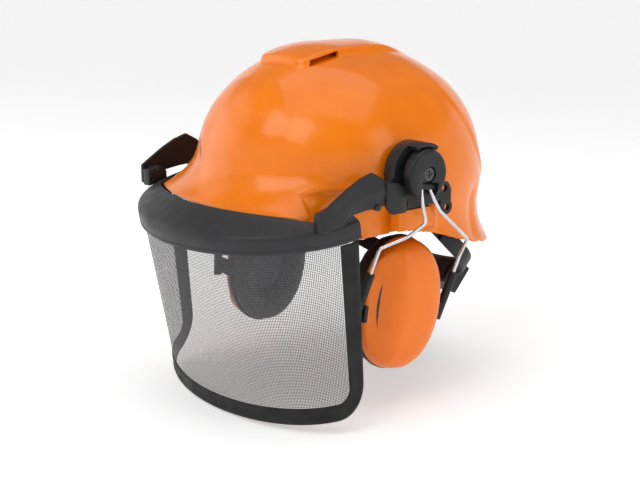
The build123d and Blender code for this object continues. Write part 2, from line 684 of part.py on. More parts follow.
with BuildPart() as cup_plate:
    with BuildSketch(ear_plane(PLATE_IN_X)):
        with Locations(CUP_CENTRE):
            Ellipse(CUP_HALF_WIDTH + 1, CUP_HALF_HEIGHT + 1)
            Ellipse(EAR_HOLE_HALF_WIDTH + 2, EAR_HOLE_HALF_HEIGHT + 2, mode=Mode.SUBTRACT)
    extrude(amount=CUP_RIM_X - PLATE_IN_X)
    for end in (-1, 1):
        # a lug at each side with the bore that turns on the sleeve's stub
        with BuildSketch(ear_plane(PLATE_IN_X)):
            with Locations((CUP_BACK + end * (CUP_HALF_WIDTH - 0.5), -PIN_DROP)):
                Rectangle(8, 13)
        extrude(amount=CUP_RIM_X - PLATE_IN_X)
        with BuildSketch(ear_plane(PLATE_IN_X)):
            with Locations((CUP_BACK + end * (CUP_HALF_WIDTH + 2), -PIN_DROP)):
                Rectangle(3.2, 13)
        extrude(amount=PIN_X + 5 - PLATE_IN_X)
    pin_axis = Plane(origin=ear_point(PIN_X, CUP_BACK, -PIN_DROP), z_dir=(0, cos(LEAN), -sin(LEAN)))
    with BuildSketch(pin_axis):
        Circle(PIN_RADIUS + RUNNING_GAP)
    extrude(amount=60, both=True, mode=Mode.SUBTRACT)
finish_pair(cup_plate, "cup_plate")

with BuildPart() as ear_cushion:
    with BuildSketch(ear_plane(CUSHION_IN_X)):
        with Locations(CUP_CENTRE):
            Ellipse(CUP_HALF_WIDTH - 1, CUP_HALF_HEIGHT - 1)
            Ellipse(EAR_HOLE_HALF_WIDTH, EAR_HOLE_HALF_HEIGHT, mode=Mode.SUBTRACT)
    extrude(amount=PLATE_IN_X - CUSHION_IN_X - 0.1)
finish_pair(ear_cushion, "ear_cushion")

with BuildPart() as foam_liner:
    with BuildSketch(ear_plane(CUP_RIM_X + 1)):
        with Locations(CUP_CENTRE):
            Ellipse(CUP_HALF_WIDTH - CUP_ROUNDING - 1, CUP_HALF_HEIGHT - CUP_ROUNDING - 1)
    extrude(amount=10)
finish_pair(foam_liner, "foam_liner")

# ------------------------------------------------------------------------------ visor

TILT = radians(GUARD_TILT)
RIM_TILT = radians(14.0)
GUARD_PLANE = Plane(origin=(0, GUARD_REAR_Y, GUARD_REAR_Z), x_dir=(1, 0, 0), z_dir=(0, -sin(TILT), cos(TILT)))
RIM_PLANE = Plane(origin=(0, RIM_CENTRE_Y, RIM_CENTRE_Z), x_dir=(1, 0, 0), z_dir=(0, -sin(RIM_TILT), cos(RIM_TILT)))


def guard_sweep(profile):
    """Sweep a closed section, given as points (outward, up), round the front of the guard."""
    with BuildPart() as swept:
        with BuildLine(GUARD_PLANE) as path:
            EllipticalCenterArc((0, 0), GUARD_HALF_WIDTH, GUARD_REACH, start_angle=180, arc_size=180)
        start = Plane(origin=GUARD_PLANE.from_local_coords((-GUARD_HALF_WIDTH, 0, 0)), x_dir=(-1, 0, 0),
                      z_dir=GUARD_PLANE.y_dir)
        with BuildSketch(start):
            with BuildLine():
                Polyline(*profile, close=True)
            make_face()
        sweep(path=path.line)
    return swept.part


def crescent(plane, half_width, reach, outer, inner):
    """A half-open band in plan between two offsets of an ellipse, on its front side."""
    with BuildSketch(plane) as band:
        Ellipse(half_width + outer, reach + outer)
        Ellipse(half_width + inner, reach + inner, mode=Mode.SUBTRACT)
        with Locations((0, 100)):
            Rectangle(400, 200, mode=Mode.SUBTRACT)
    return band.sketch


def visor_skin(thickness):
    """The curved sheet from the guard down to the rim, at a given thickness."""
    middle = -(GUARD_WALL + 0.2 + MESH_THICKNESS / 2)
    half = thickness / 2
    top = crescent(GUARD_PLANE.offset(-3), GUARD_HALF_WIDTH, GUARD_REACH, middle + half, middle - half)
    foot = crescent(RIM_PLANE, RIM_HALF_WIDTH, RIM_REACH, middle + half, middle - half)
    with BuildPart() as skin:
        loft(sections=[top, foot])
    return skin.part


def visor_side(inset):
    """The visor's outline seen from the side, drawn in by inset at the rear and the rim."""
    slope = sin(RIM_TILT) / cos(RIM_TILT)
    front = -220 - inset
    foot_y = RIM_CENTRE_Y - inset
    foot_z = RIM_CENTRE_Z + inset - inset * slope
    with BuildSketch(side_plane(-150)) as outline:
        with BuildLine():
            Polyline((GUARD_REAR_Y - inset, 30 + inset), (foot_y, foot_z),
                     (front, foot_z + (front - foot_y) * slope), (front, 30 + inset), close=True)
        make_face()
        fillet(outline.vertices().sort_by(Axis.Y)[-2:].sort_by(Axis.Z)[0], radius=24 - inset)
    return outline.sketch


GUARD_SCREW_ANGLES = (215, 243, 270, 297, 325)
GUARD_SCREW_DROP = 7.5
SCREW_TIP = 0.7
SCREW_LENGTH = 6.8
ARM_SCREW = (111.0, -106.0)
ARM_SCREW_RADIUS = 2.0
RAIL_OUT = GUARD_WALL + MESH_THICKNESS + 0.7
RAIL_LEAN = 1.7
PEAK_GAP = 3.0
LIP_SIDE_X = 107.0


def guard_screw_planes():
    """Planes that face outwards at each clamp screw round the guard's band."""
    planes = []
    for angle in GUARD_SCREW_ANGLES:
        x = GUARD_HALF_WIDTH * cos(radians(angle))
        y = GUARD_REACH * sin(radians(angle))
        outward = GUARD_PLANE.x_dir * (x / GUARD_HALF_WIDTH ** 2) + GUARD_PLANE.y_dir * (y / GUARD_REACH ** 2)
        planes.append(Plane(origin=GUARD_PLANE.from_local_coords((x, y, -GUARD_SCREW_DROP)), z_dir=outward))
    return planes


def screw_holes(radius):
    """Round holes through the rail and the mesh and part way into the band at each clamp screw."""
    with BuildPart() as holes:
        for plane in guard_screw_planes():
            with BuildSketch(plane.offset(-SCREW_TIP)):
                Circle(radius)
            extrude(amount=-16)
    return holes.part


clamp_holes = screw_holes(1.6)
guard_body = guard_sweep([(0, 0), (-GUARD_LIP, GUARD_RISE), (-GUARD_LIP, GUARD_RISE - GUARD_WALL),
                          (-GUARD_WALL, -GUARD_WALL * 0.6), (-GUARD_WALL, -GUARD_BAND), (0, -GUARD_BAND)])
rail_body = guard_sweep([(-RAIL_OUT, -3), (-RAIL_OUT - RAIL_THICKNESS, -3),
                         (-RAIL_OUT - RAIL_THICKNESS - RAIL_LEAN, -GUARD_BAND + 1),
                         (-RAIL_OUT - RAIL_LEAN, -GUARD_BAND + 1)])
mesh_skin = visor_skin(MESH_THICKNESS)
binding_skin = visor_skin(BINDING_THICKNESS)

with BuildPart() as peak_room:
    # the peak's plan with a gap round it, which the guard's lip goes round
    with BuildSketch(Plane.XY.offset(-20)):
        with Locations((0, PEAK_ARC_CENTRE)):
            Circle(PEAK_ARC_RADIUS + PEAK_GAP)
        Rectangle(2 * LIP_SIDE_X, 500, mode=Mode.INTERSECT)
    extrude(amount=70)

with BuildPart() as brow_guard:
    add(guard_body)
    add(peak_room.part, mode=Mode.SUBTRACT)
    add(clamp_holes, mode=Mode.SUBTRACT)
    with BuildSketch(Plane.XY):
        for side in (1, -1):
            with Locations((side * ARM_SCREW[0], ARM_SCREW[1])):
                Circle(ARM_SCREW_RADIUS + 0.1)
    extrude(amount=30, mode=Mode.SUBTRACT)
finish(brow_guard, "brow_guard")

with BuildPart() as clamp_rail:
    add(rail_body)
    add(clamp_holes, mode=Mode.SUBTRACT)
finish(clamp_rail, "clamp_rail")

with BuildPart() as window:
    # seen from the side, what the binding leaves free
    extrude(visor_side(BINDING_WIDTH), amount=300, dir=(1, 0, 0))

with BuildPart() as binding_limit:
    extrude(visor_side(0), amount=300, dir=(1, 0, 0))
    with BuildSketch(GUARD_PLANE.offset(-GUARD_BAND - 0.4)):
        Rectangle(500, 500)
    extrude(amount=200, mode=Mode.SUBTRACT)

with BuildPart() as mesh:
    add(mesh_skin)
    add(window.part, mode=Mode.INTERSECT)
    add(clamp_holes, mode=Mode.SUBTRACT)
finish(mesh, "visor_mesh")

with BuildPart() as mesh_binding:
    add(binding_skin)
    add(binding_limit.part, mode=Mode.INTERSECT)
    add(window.part, mode=Mode.SUBTRACT)
finish(mesh_binding, "mesh_binding")

with BuildPart() as clamp_screws:
    # they go in from behind, so the guard's outer face stays plain
    for plane in guard_screw_planes():
        with BuildSketch(plane.offset(-SCREW_TIP - 0.1)):
            Circle(1.5)
        extrude(amount=-SCREW_LENGTH)
        with BuildSketch(plane.offset(-SCREW_TIP - 0.1 - SCREW_LENGTH)):
            Circle(3.0)
        extrude(amount=-1.5)
finish(clamp_screws, "clamp_screws")

ARM_FOOT_TOP = 20.0
ARM_FOOT_IN = 107.5
ARM_SCREW_LOW = 6.5

with BuildPart() as visor_arm:
    with BuildSketch(side_plane(ARM_IN)):
        with BuildLine():
            Polyline((-115, 13.8), (-115, 22), (-94, 35.5), (-68, 45), (-54, 38), (-45, 35.5), (-37.5, 13),
                     (-52, 13), (-60, 20.5), (-93, 17.5), (-97, 13.8), close=True)
        make_face()
    extrude(amount=ARM_OUT - ARM_IN)
    # the flap stands proud over the hinge
    with BuildSketch(side_plane(ARM_OUT)):
        with BuildLine():
            Polyline((-55, 35), (-46.5, 34), (-39, 14), (-51, 14), (-57, 22), close=True)
        make_face()
    extrude(amount=FLAP_OUT - ARM_OUT)
    # foot that is screwed down on the guard's lip
    with BuildSketch(side_plane(ARM_FOOT_IN)):
        with BuildLine():
            Polyline((-115, 6.6), (-97, 11.2), (-97, ARM_FOOT_TOP), (-115, ARM_FOOT_TOP), close=True)
        make_face()
    extrude(amount=ARM_OUT - ARM_FOOT_IN)
    add(guard_body, mode=Mode.SUBTRACT)
    with BuildSketch(Plane.XY.offset(5)):
        with Locations(ARM_SCREW):
            Circle(ARM_SCREW_RADIUS + 0.1)
    extrude(amount=30, mode=Mode.SUBTRACT)
    # hinge pin, and a stop peg that stands under the arm's lower edge
    with BuildSketch(side_plane(ADAPTER_IN - 1)):
        with Locations((HINGE_Y, HINGE_Z)):
            Circle(HINGE_PIN_RADIUS)
    extrude(amount=ARM_IN - ADAPTER_IN + 1)
    with BuildSketch(side_plane(ARM_IN - 3)):
        with Locations((-65, 20.5)):
            Circle(2.6)
    extrude(amount=ARM_OUT - ARM_IN + 3)
finish_pair(visor_arm, "visor_arm")

with BuildPart() as arm_screw:
    with BuildSketch(Plane.XY.offset(ARM_SCREW_LOW)):
        with Locations(ARM_SCREW):
            Circle(ARM_SCREW_RADIUS)
    extrude(amount=ARM_FOOT_TOP - ARM_SCREW_LOW)
    with BuildSketch(Plane.XY.offset(ARM_FOOT_TOP)):
        with Locations(ARM_SCREW):
            Circle(3.8)
    extrude(amount=1.8)
finish_pair(arm_screw, "arm_screw")
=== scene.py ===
"""Looks of the forestry helmet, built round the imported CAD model.

Lengths in the shape code are millimetres in the part's own frame (+X to the wearer's
left, -Y to the front, +Z up). They become metres where a mesh is made.
"""
import json
import math

import bmesh
import bpy
import numpy as np
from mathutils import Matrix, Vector


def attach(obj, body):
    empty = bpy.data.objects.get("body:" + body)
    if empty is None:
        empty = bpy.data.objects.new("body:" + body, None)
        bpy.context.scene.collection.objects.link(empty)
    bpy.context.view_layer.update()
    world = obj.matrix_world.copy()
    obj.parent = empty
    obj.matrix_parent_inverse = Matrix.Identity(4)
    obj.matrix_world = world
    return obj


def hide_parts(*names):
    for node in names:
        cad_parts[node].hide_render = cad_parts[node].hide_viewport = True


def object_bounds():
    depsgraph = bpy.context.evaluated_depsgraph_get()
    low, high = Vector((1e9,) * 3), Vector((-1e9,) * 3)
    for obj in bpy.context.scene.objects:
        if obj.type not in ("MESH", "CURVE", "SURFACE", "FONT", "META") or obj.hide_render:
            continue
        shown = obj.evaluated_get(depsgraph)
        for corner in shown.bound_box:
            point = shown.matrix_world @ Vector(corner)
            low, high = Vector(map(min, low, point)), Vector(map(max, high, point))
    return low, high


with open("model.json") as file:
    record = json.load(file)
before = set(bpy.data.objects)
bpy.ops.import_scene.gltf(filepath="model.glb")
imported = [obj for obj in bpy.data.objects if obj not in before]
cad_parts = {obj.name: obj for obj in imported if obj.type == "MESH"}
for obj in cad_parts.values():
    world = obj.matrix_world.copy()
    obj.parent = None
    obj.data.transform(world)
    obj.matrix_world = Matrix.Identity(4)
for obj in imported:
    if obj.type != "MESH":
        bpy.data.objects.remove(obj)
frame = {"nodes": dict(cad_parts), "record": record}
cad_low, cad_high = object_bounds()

MM = 0.001
SIDES = (("left", 1.0), ("right", -1.0))

# ------------------------------------------------------------------ shared dimensions

DOME_HALF_WIDTH = 103.0
DOME_STRETCH = 21.0
CROWN_ARC_Z = 13.0
CROWN_ARC_RADIUS = 112.0
SHELL_WALL = 2.6
RIM_LINE = ((-190, 20), (-139, 9.5), (-112, 4), (-90, -5), (-70, -9.6), (-48, -7.4), (-28, -5.6), (-8, -7.6),
            (16, -13.8), (40, -21.5), (85, -33), (140, -41.5), (190, -45))
PEAK_Y = 28.0
PEAK_RADIUS = 168.0
PEAK_EDGE_Z = 15.0
PEAK_SIDE_X = 103.5
PEAK_START_Z = 44.0
SKIRT_FOOT_Z = -43.0
DOME_NARROWING = 0.08
GUARD_TILT = math.radians(9.0)
GUARD_ORIGIN = np.array((0.0, -80.0, 12.0))
GUARD_HALF_WIDTH = 118.0
GUARD_REACH = 88.0
LIP_SLOPE = 0.44
LIP_WIDEST = 28.0
LIP_NARROWEST = 10.5
LIP_SIDE_X = 106.0
RIM_TILT = math.radians(14.0)
VISOR_FOOT = np.array((0.0, -70.0, -137.0))
VISOR_FOOT_HALF_WIDTH = 116.0
VISOR_FOOT_REACH = 64.0
VISOR_INSET = 3.0
BINDING_CORNER = 24.0
EAR_LEAN = math.radians(9.0)
TURRET_Y = -23.0
TURRET_Z = 41.0
CUP_BACK = 27.5
CUP_UP = -107.0
CUP_HALF_WIDTH = 38.0
CUP_HALF_HEIGHT = 53.0
CUP_OUT = 106.0
CUP_SHOULDER = 88.0
HEAD_HALF_WIDTH = 78.0
HEAD_HALF_LENGTH = 97.0
STRAP_FOOT = 6.0
STRAP_RISE = 80.0

# ---------------------------------------------------------------------- mesh helpers


def smooth_step(x):
    """0 below 0, 1 above 1, and smooth between."""
    t = np.clip(x, 0.0, 1.0)
    return t * t * (3.0 - 2.0 * t)


def make_mesh(name, points, faces):
    """A smooth-shaded object from points in millimetres."""
    mesh = bpy.data.meshes.new(name)
    mesh.from_pydata([tuple(float(c) * MM for c in p) for p in points], [], faces)
    mesh.validate()
    mesh.polygons.foreach_set("use_smooth", [True] * len(mesh.polygons))
    mesh.update()
    piece = bpy.data.objects.new(name, mesh)
    bpy.context.scene.collection.objects.link(piece)
    return piece


def grid_mesh(name, grid, wrap_rows=False, wrap_columns=False, caps=False):
    """A mesh over a (rows, columns, 3) array. Caps close the first and last rows."""
    grid = np.asarray(grid, float)
    rows, columns = grid.shape[:2]
    faces = []
    for i in range(rows if wrap_rows else rows - 1):
        for j in range(columns if wrap_columns else columns - 1):
            i2, j2 = (i + 1) % rows, (j + 1) % columns
            faces.append((i * columns + j, i2 * columns + j, i2 * columns + j2, i * columns + j2))
    if caps:
        faces.append(tuple(range(columns)))
        faces.append(tuple((rows - 1) * columns + j for j in reversed(range(columns))))
    return make_mesh(name, grid.reshape(-1, 3), faces)


def apply_modifiers(piece):
    """Turn the piece's modifiers into its mesh."""
    graph = bpy.context.evaluated_depsgraph_get()
    mesh = bpy.data.meshes.new_from_object(piece.evaluated_get(graph))
    piece.modifiers.clear()
    piece.data = mesh
    return piece


def tidy_normals(piece):
    """Merge doubled points and turn every face outwards."""
    work = bmesh.new()
    work.from_mesh(piece.data)
    bmesh.ops.remove_doubles(work, verts=work.verts, dist=1e-6)
    bmesh.ops.dissolve_degenerate(work, edges=work.edges, dist=1e-7)
    bmesh.ops.recalc_face_normals(work, faces=work.faces)
    work.to_mesh(piece.data)
    work.free()
    return piece


def add_bevel(piece, width, segments=2, angle=35):
    """Round the edges where faces meet at more than an angle, in degrees."""
    bevel = piece.modifiers.new("bevel", "BEVEL")
    bevel.width = width * MM
    bevel.segments = segments
    bevel.limit_method = "ANGLE"
    bevel.angle_limit = math.radians(angle)
    bevel.harden_normals = False


def slab(name, outline, x_in, x_out, bevel=0.8):
    """A plate with bevelled edges: outline holds (y, z) points."""
    count = len(outline)
    points = [(x_in, y, z) for y, z in outline] + [(x_out, y, z) for y, z in outline]
    faces = [tuple(range(count)), tuple(range(2 * count - 1, count - 1, -1))]
    faces += [(i, (i + 1) % count, count + (i + 1) % count, count + i) for i in range(count)]
    piece = tidy_normals(make_mesh(name, points, faces))
    add_bevel(piece, bevel)
    return shade_by_angle(apply_modifiers(piece))


def shade_by_angle(piece, degrees=32):
    """Smooth faces that meet at less than an angle, sharp elsewhere."""
    piece.data.polygons.foreach_set("use_smooth", [True] * len(piece.data.polygons))
    piece.data.set_sharp_from_angle(angle=math.radians(degrees))
    return piece


def join(pieces, name):
    """Several objects as one."""
    with bpy.context.temp_override(active_object=pieces[0], selected_editable_objects=pieces,
                                   object=pieces[0], selected_objects=pieces):
        bpy.ops.object.join()
    pieces[0].name = name
    return pieces[0]


def ear_frame(x, back, up, side):
    """A point in the ear defender's leaning plane."""
    y = TURRET_Y + back * math.cos(EAR_LEAN) + up * math.sin(EAR_LEAN)
    z = TURRET_Z - back * math.sin(EAR_LEAN) + up * math.cos(EAR_LEAN)
    return (side * x, y, z)


def place(piece, body, material, replaced=()):
    """Give a piece its body, its material and the CAD nodes it stands for."""
    piece.data.materials.clear()
    piece.data.materials.append(material)
    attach(piece, body)
    if replaced:
        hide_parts(*replaced)
    return piece


# ------------------------------------------------------------------------- materials


def new_material(name):
    """A material with its node tree and its main shader."""
    material = bpy.data.materials.new(name)
    material.use_nodes = True
    tree = material.node_tree
    return material, tree, tree.nodes["Principled BSDF"]


def node(tree, kind, settings=None, **inputs):
    """A shader node with its settings, and its inputs named with underscores for spaces."""
    made = tree.nodes.new(kind)
    for key, value in (settings or {}).items():
        setattr(made, key, value)
    for key, value in inputs.items():
        made.inputs[key.replace("_", " ")].default_value = value
    return made


def noise(tree, scale, detail=4.0, roughness=0.5):
    """Soft noise over the piece, from 0 to 1."""
    coordinates = node(tree, "ShaderNodeTexCoord")
    made = node(tree, "ShaderNodeTexNoise", Scale=scale, Detail=detail, Roughness=roughness)
    tree.links.new(coordinates.outputs["Object"], made.inputs["Vector"])
    return made.outputs["Fac"]


def ramp(tree, source, stops):
    """Colours for a value: stops are (position, colour) pairs."""
    made = node(tree, "ShaderNodeValToRGB")
    elements = made.color_ramp.elements
    elements[0].position, elements[0].color = stops[0][0], (*stops[0][1], 1)
    elements[1].position, elements[1].color = stops[-1][0], (*stops[-1][1], 1)
    for position, colour in stops[1:-1]:
        elements.new(position).color = (*colour, 1)
    tree.links.new(source, made.inputs["Fac"])
    return made.outputs["Color"]


def spread(tree, source, low, high, from_low=0.35, from_high=0.65):
    """A value moved from one range to another."""
    made = node(tree, "ShaderNodeMapRange", From_Min=from_low, From_Max=from_high, To_Min=low, To_Max=high)
    tree.links.new(source, made.inputs["Value"])
    return made.outputs["Result"]


def bump(tree, shader, height, strength, distance):
    """Fine relief on a shader, from a height."""
    made = node(tree, "ShaderNodeBump", Strength=strength, Distance=distance)
    tree.links.new(height, made.inputs["Height"])
    tree.links.new(made.outputs["Normal"], shader.inputs["Normal"])


def moulded(name, dark, light, roughness, grain_scale, grain, coat=0.0, wear=0.0, shine=0.3):
    """Moulded plastic: faint mottling, uneven gloss, fine grain and lighter rubbed edges."""
    material, tree, shader = new_material(name)
    mottling = noise(tree, 35.0, 3.0)
    colour = ramp(tree, mottling, ((0.3, dark), (0.7, light)))
    if wear:
        geometry = node(tree, "ShaderNodeNewGeometry")
        edges = spread(tree, geometry.outputs["Pointiness"], 0.0, wear, 0.52, 0.62)
        mix = node(tree, "ShaderNodeMix", {"data_type": "RGBA"})
        mix.inputs["B"].default_value = (*[min(1.0, c * 2.2 + 0.03) for c in light], 1)
        tree.links.new(colour, mix.inputs["A"])
        tree.links.new(edges, mix.inputs["Factor"])
        colour = mix.outputs["Result"]
    tree.links.new(colour, shader.inputs["Base Color"])
    gloss = spread(tree, noise(tree, 90.0, 5.0), roughness * 0.85, roughness * 1.2)
    tree.links.new(gloss, shader.inputs["Roughness"])
    shader.inputs["Coat Weight"].default_value = coat
    shader.inputs["Coat Roughness"].default_value = 0.05
    shader.inputs["Specular IOR Level"].default_value = shine
    bump(tree, shader, noise(tree, grain_scale, 2.0), grain, 0.0002)
    return material


def steel(name, colour, roughness, stretch):
    """Drawn steel with fine streaks."""
    material, tree, shader = new_material(name)
    coordinates = node(tree, "ShaderNodeTexCoord")
    mapping = node(tree, "ShaderNodeMapping")
    mapping.inputs["Scale"].default_value = stretch
    streaks = node(tree, "ShaderNodeTexNoise", Scale=300.0, Detail=4.0)
    tree.links.new(coordinates.outputs["Object"], mapping.inputs["Vector"])
    tree.links.new(mapping.outputs["Vector"], streaks.inputs["Vector"])
    darker = tuple(c * 0.75 for c in colour)
    colours = ramp(tree, streaks.outputs["Fac"], ((0.3, darker), (0.7, colour)))
    tree.links.new(colours, shader.inputs["Base Color"])
    gloss = spread(tree, streaks.outputs["Fac"], roughness * 0.7, roughness * 1.3)
    tree.links.new(gloss, shader.inputs["Roughness"])
    shader.inputs["Metallic"].default_value = 1.0
    bump(tree, shader, streaks.outputs["Fac"], 0.15, 0.0001)
    return material


def woven(name, dark, light, pitch):
    """Woven webbing: two crossing sets of threads, with fuzz."""
    material, tree, shader = new_material(name)
    coordinates = node(tree, "ShaderNodeTexCoord")
    threads = []
    for direction in ("X", "Y"):
        wave = node(tree, "ShaderNodeTexWave", {"bands_direction": direction},
                    Scale=0.314 / pitch, Distortion=0.6)
        tree.links.new(coordinates.outputs["Object"], wave.inputs["Vector"])
        threads.append(wave.outputs["Fac"])
    product = node(tree, "ShaderNodeMath", {"operation": "MULTIPLY"})
    tree.links.new(threads[0], product.inputs[0])
    tree.links.new(threads[1], product.inputs[1])
    colours = ramp(tree, product.outputs["Value"], ((0.1, dark), (0.8, light)))
    tree.links.new(colours, shader.inputs["Base Color"])
    shader.inputs["Roughness"].default_value = 0.85
    shader.inputs["Sheen Weight"].default_value = 0.3
    bump(tree, shader, product.outputs["Value"], 0.6, 0.0005)
    return material


def vinyl(name, dark, light):
    """Soft vinyl over foam, with a leather-like grain of small cells."""
    material, tree, shader = new_material(name)
    coordinates = node(tree, "ShaderNodeTexCoord")
    cells = node(tree, "ShaderNodeTexVoronoi", {"feature": "DISTANCE_TO_EDGE"}, Scale=700.0)
    tree.links.new(coordinates.outputs["Object"], cells.inputs["Vector"])
    tree.links.new(ramp(tree, noise(tree, 60.0), ((0.3, dark), (0.7, light))), shader.inputs["Base Color"])
    tree.links.new(spread(tree, noise(tree, 120.0), 0.42, 0.6), shader.inputs["Roughness"])
    bump(tree, shader, cells.outputs["Distance"], 0.35, 0.0004)
    return material


def open_foam(name, dark, light):
    """Open-cell foam with small dark pores."""
    material, tree, shader = new_material(name)
    coordinates = node(tree, "ShaderNodeTexCoord")
    pores = node(tree, "ShaderNodeTexVoronoi", Scale=900.0)
    tree.links.new(coordinates.outputs["Object"], pores.inputs["Vector"])
    colours = ramp(tree, pores.outputs["Distance"], ((0.1, dark), (0.6, light)))
    tree.links.new(colours, shader.inputs["Base Color"])
    shader.inputs["Roughness"].default_value = 0.95
    bump(tree, shader, pores.outputs["Distance"], 0.8, 0.0008)
    return material


def wire_mesh(name, colour, pitch, share):
    """Woven wire that shows what is behind it. The UV map holds millimetres."""
    material, tree, shader = new_material(name)
    coordinates = node(tree, "ShaderNodeTexCoord")
    split = node(tree, "ShaderNodeSeparateXYZ")
    tree.links.new(coordinates.outputs["UV"], split.inputs["Vector"])
    lines = []
    for axis in ("X", "Y"):
        steps = node(tree, "ShaderNodeMath", {"operation": "MULTIPLY"})
        steps.inputs[1].default_value = 1.0 / pitch
        tree.links.new(split.outputs[axis], steps.inputs[0])
        part = node(tree, "ShaderNodeMath", {"operation": "FRACT"})
        tree.links.new(steps.outputs["Value"], part.inputs[0])
        wire = node(tree, "ShaderNodeMath", {"operation": "LESS_THAN"})
        wire.inputs[1].default_value = share
        tree.links.new(part.outputs["Value"], wire.inputs[0])
        lines.append(wire.outputs["Value"])
    either = node(tree, "ShaderNodeMath", {"operation": "MAXIMUM"})
    tree.links.new(lines[0], either.inputs[0])
    tree.links.new(lines[1], either.inputs[1])
    tree.links.new(either.outputs["Value"], shader.inputs["Alpha"])
    darker = tuple(c * 0.7 for c in colour)
    colours = ramp(tree, noise(tree, 500.0), ((0.35, darker), (0.65, colour)))
    tree.links.new(colours, shader.inputs["Base Color"])
    shader.inputs["Metallic"].default_value = 0.2
    shader.inputs["Roughness"].default_value = 0.55
    return material


def plain_floor(name):
    """Matt white paint with a little glow."""
    material, tree, shader = new_material(name)
    greys = ramp(tree, noise(tree, 3.0), ((0.3, (0.90, 0.90, 0.90)), (0.7, (0.92, 0.92, 0.92))))
    tree.links.new(greys, shader.inputs["Base Color"])
    shader.inputs["Roughness"].default_value = 0.8
    shader.inputs["Emission Color"].default_value = (1, 1, 1, 1)
    shader.inputs["Emission Strength"].default_value = 0.34
    return material


ORANGE = moulded("orange_shell", (0.84, 0.185, 0.002), (0.90, 0.215, 0.003), roughness=0.22,
                 grain_scale=260.0, grain=0.02, coat=0.12, shine=0.35)
CUP_ORANGE = moulded("orange_cup", (0.82, 0.165, 0.002), (0.88, 0.190, 0.003), roughness=0.34,
                     grain_scale=700.0, grain=0.08, coat=0.05, shine=0.35)
BLACK = moulded("black_plastic", (0.008, 0.008, 0.009), (0.014, 0.014, 0.015), roughness=0.45,
                grain_scale=1500.0, grain=0.25, wear=0.15)
CHARCOAL = moulded("charcoal_plastic", (0.020, 0.020, 0.022), (0.030, 0.030, 0.032), roughness=0.42,
                   grain_scale=1600.0, grain=0.25, wear=0.12)
ARM_GREY = moulded("arm_plastic", (0.010, 0.010, 0.011), (0.017, 0.017, 0.018), roughness=0.36,
                   grain_scale=1600.0, grain=0.2, wear=0.12)
WHITE = moulded("natural_plastic", (0.62, 0.61, 0.58), (0.70, 0.69, 0.66), roughness=0.4,
                grain_scale=900.0, grain=0.1)
BINDING = moulded("rubber_binding", (0.008, 0.008, 0.008), (0.014, 0.014, 0.014), roughness=0.6,
                  grain_scale=1100.0, grain=0.4)
WIRE = steel("spring_steel", (0.74, 0.74, 0.76), roughness=0.24, stretch=(1.0, 1.0, 0.12))
DARK_STEEL = steel("dark_steel", (0.10, 0.10, 0.105), roughness=0.38, stretch=(1.0, 1.0, 1.0))
SCREEN = wire_mesh("woven_wire", (0.11, 0.11, 0.115), pitch=1.25, share=0.33)
WEBBING = woven("webbing", (0.010, 0.010, 0.012), (0.045, 0.045, 0.05), pitch=0.0011)
VINYL = vinyl("cushion_vinyl", (0.010, 0.010, 0.011), (0.020, 0.020, 0.021))
FOAM = open_foam("liner_foam", (0.02, 0.02, 0.022), (0.11, 0.11, 0.115))
FLOOR = plain_floor("floor_paint")

# ------------------------------------------------------------------------------ shell


def dome_section():
    """The dome's outer line as (r, z) points: crown, flank and flared skirt, each tangent to the last."""
    def arc_on(start, heading, end, steps):
        """An arc that leaves start along heading and meets end, and its heading there."""
        normal = np.array((heading[1], -heading[0]))
        to_end = np.array(end) - start
        reach = float(to_end @ to_end) / (2.0 * float(to_end @ normal))
        centre = start + normal * reach
        first = math.atan2(*(start - centre)[::-1])
        last = math.atan2(*(np.array(end) - centre)[::-1])
        turn = (last - first + math.pi) % (2 * math.pi) - math.pi
        angles = first + turn * np.linspace(0, 1, steps)
        line = centre + abs(reach) * np.stack((np.cos(angles), np.sin(angles)), 1)
        spin = math.copysign(1.0, turn)
        return line, np.array((-math.sin(last), math.cos(last))) * spin

    angles = np.radians(np.linspace(90, 40, 60))
    crown = np.stack((CROWN_ARC_RADIUS * np.cos(angles), CROWN_ARC_Z + CROWN_ARC_RADIUS * np.sin(angles)), 1)
    heading = np.array((math.sin(angles[-1]), -math.cos(angles[-1])))
    flank, heading = arc_on(crown[-1], heading, (DOME_HALF_WIDTH, 11.0), 60)
    skirt, heading = arc_on(flank[-1], heading, (DOME_HALF_WIDTH + 16.0, -44.0), 60)
    return np.concatenate((crown, flank[1:], skirt[1:]))


def plan_outline(count):
    """Centres and outward directions round the dome's plan, starting at the front."""
    length = 2 * math.pi * DOME_HALF_WIDTH + 4 * DOME_STRETCH
    half_turn = math.pi * DOME_HALF_WIDTH
    centres, outward = [], []
    for i in range(count):
        s = (i / count) * length
        quarter = half_turn / 2
        if s < quarter:
            angle, y = -math.pi / 2 + s / DOME_HALF_WIDTH, -DOME_STRETCH
        elif s < quarter + 2 * DOME_STRETCH:
            angle, y = 0.0, -DOME_STRETCH + (s - quarter)
        elif s < quarter + 2 * DOME_STRETCH + half_turn:
            angle, y = (s - quarter - 2 * DOME_STRETCH) / DOME_HALF_WIDTH, DOME_STRETCH
        elif s < quarter + 4 * DOME_STRETCH + half_turn:
            angle, y = math.pi, DOME_STRETCH - (s - quarter - 2 * DOME_STRETCH - half_turn)
        else:
            angle = math.pi + (s - quarter - 4 * DOME_STRETCH - half_turn) / DOME_HALF_WIDTH
            y = -DOME_STRETCH
        centres.append((0.0, y))
        outward.append((math.cos(angle), math.sin(angle)))
    return np.array(centres), np.array(outward)


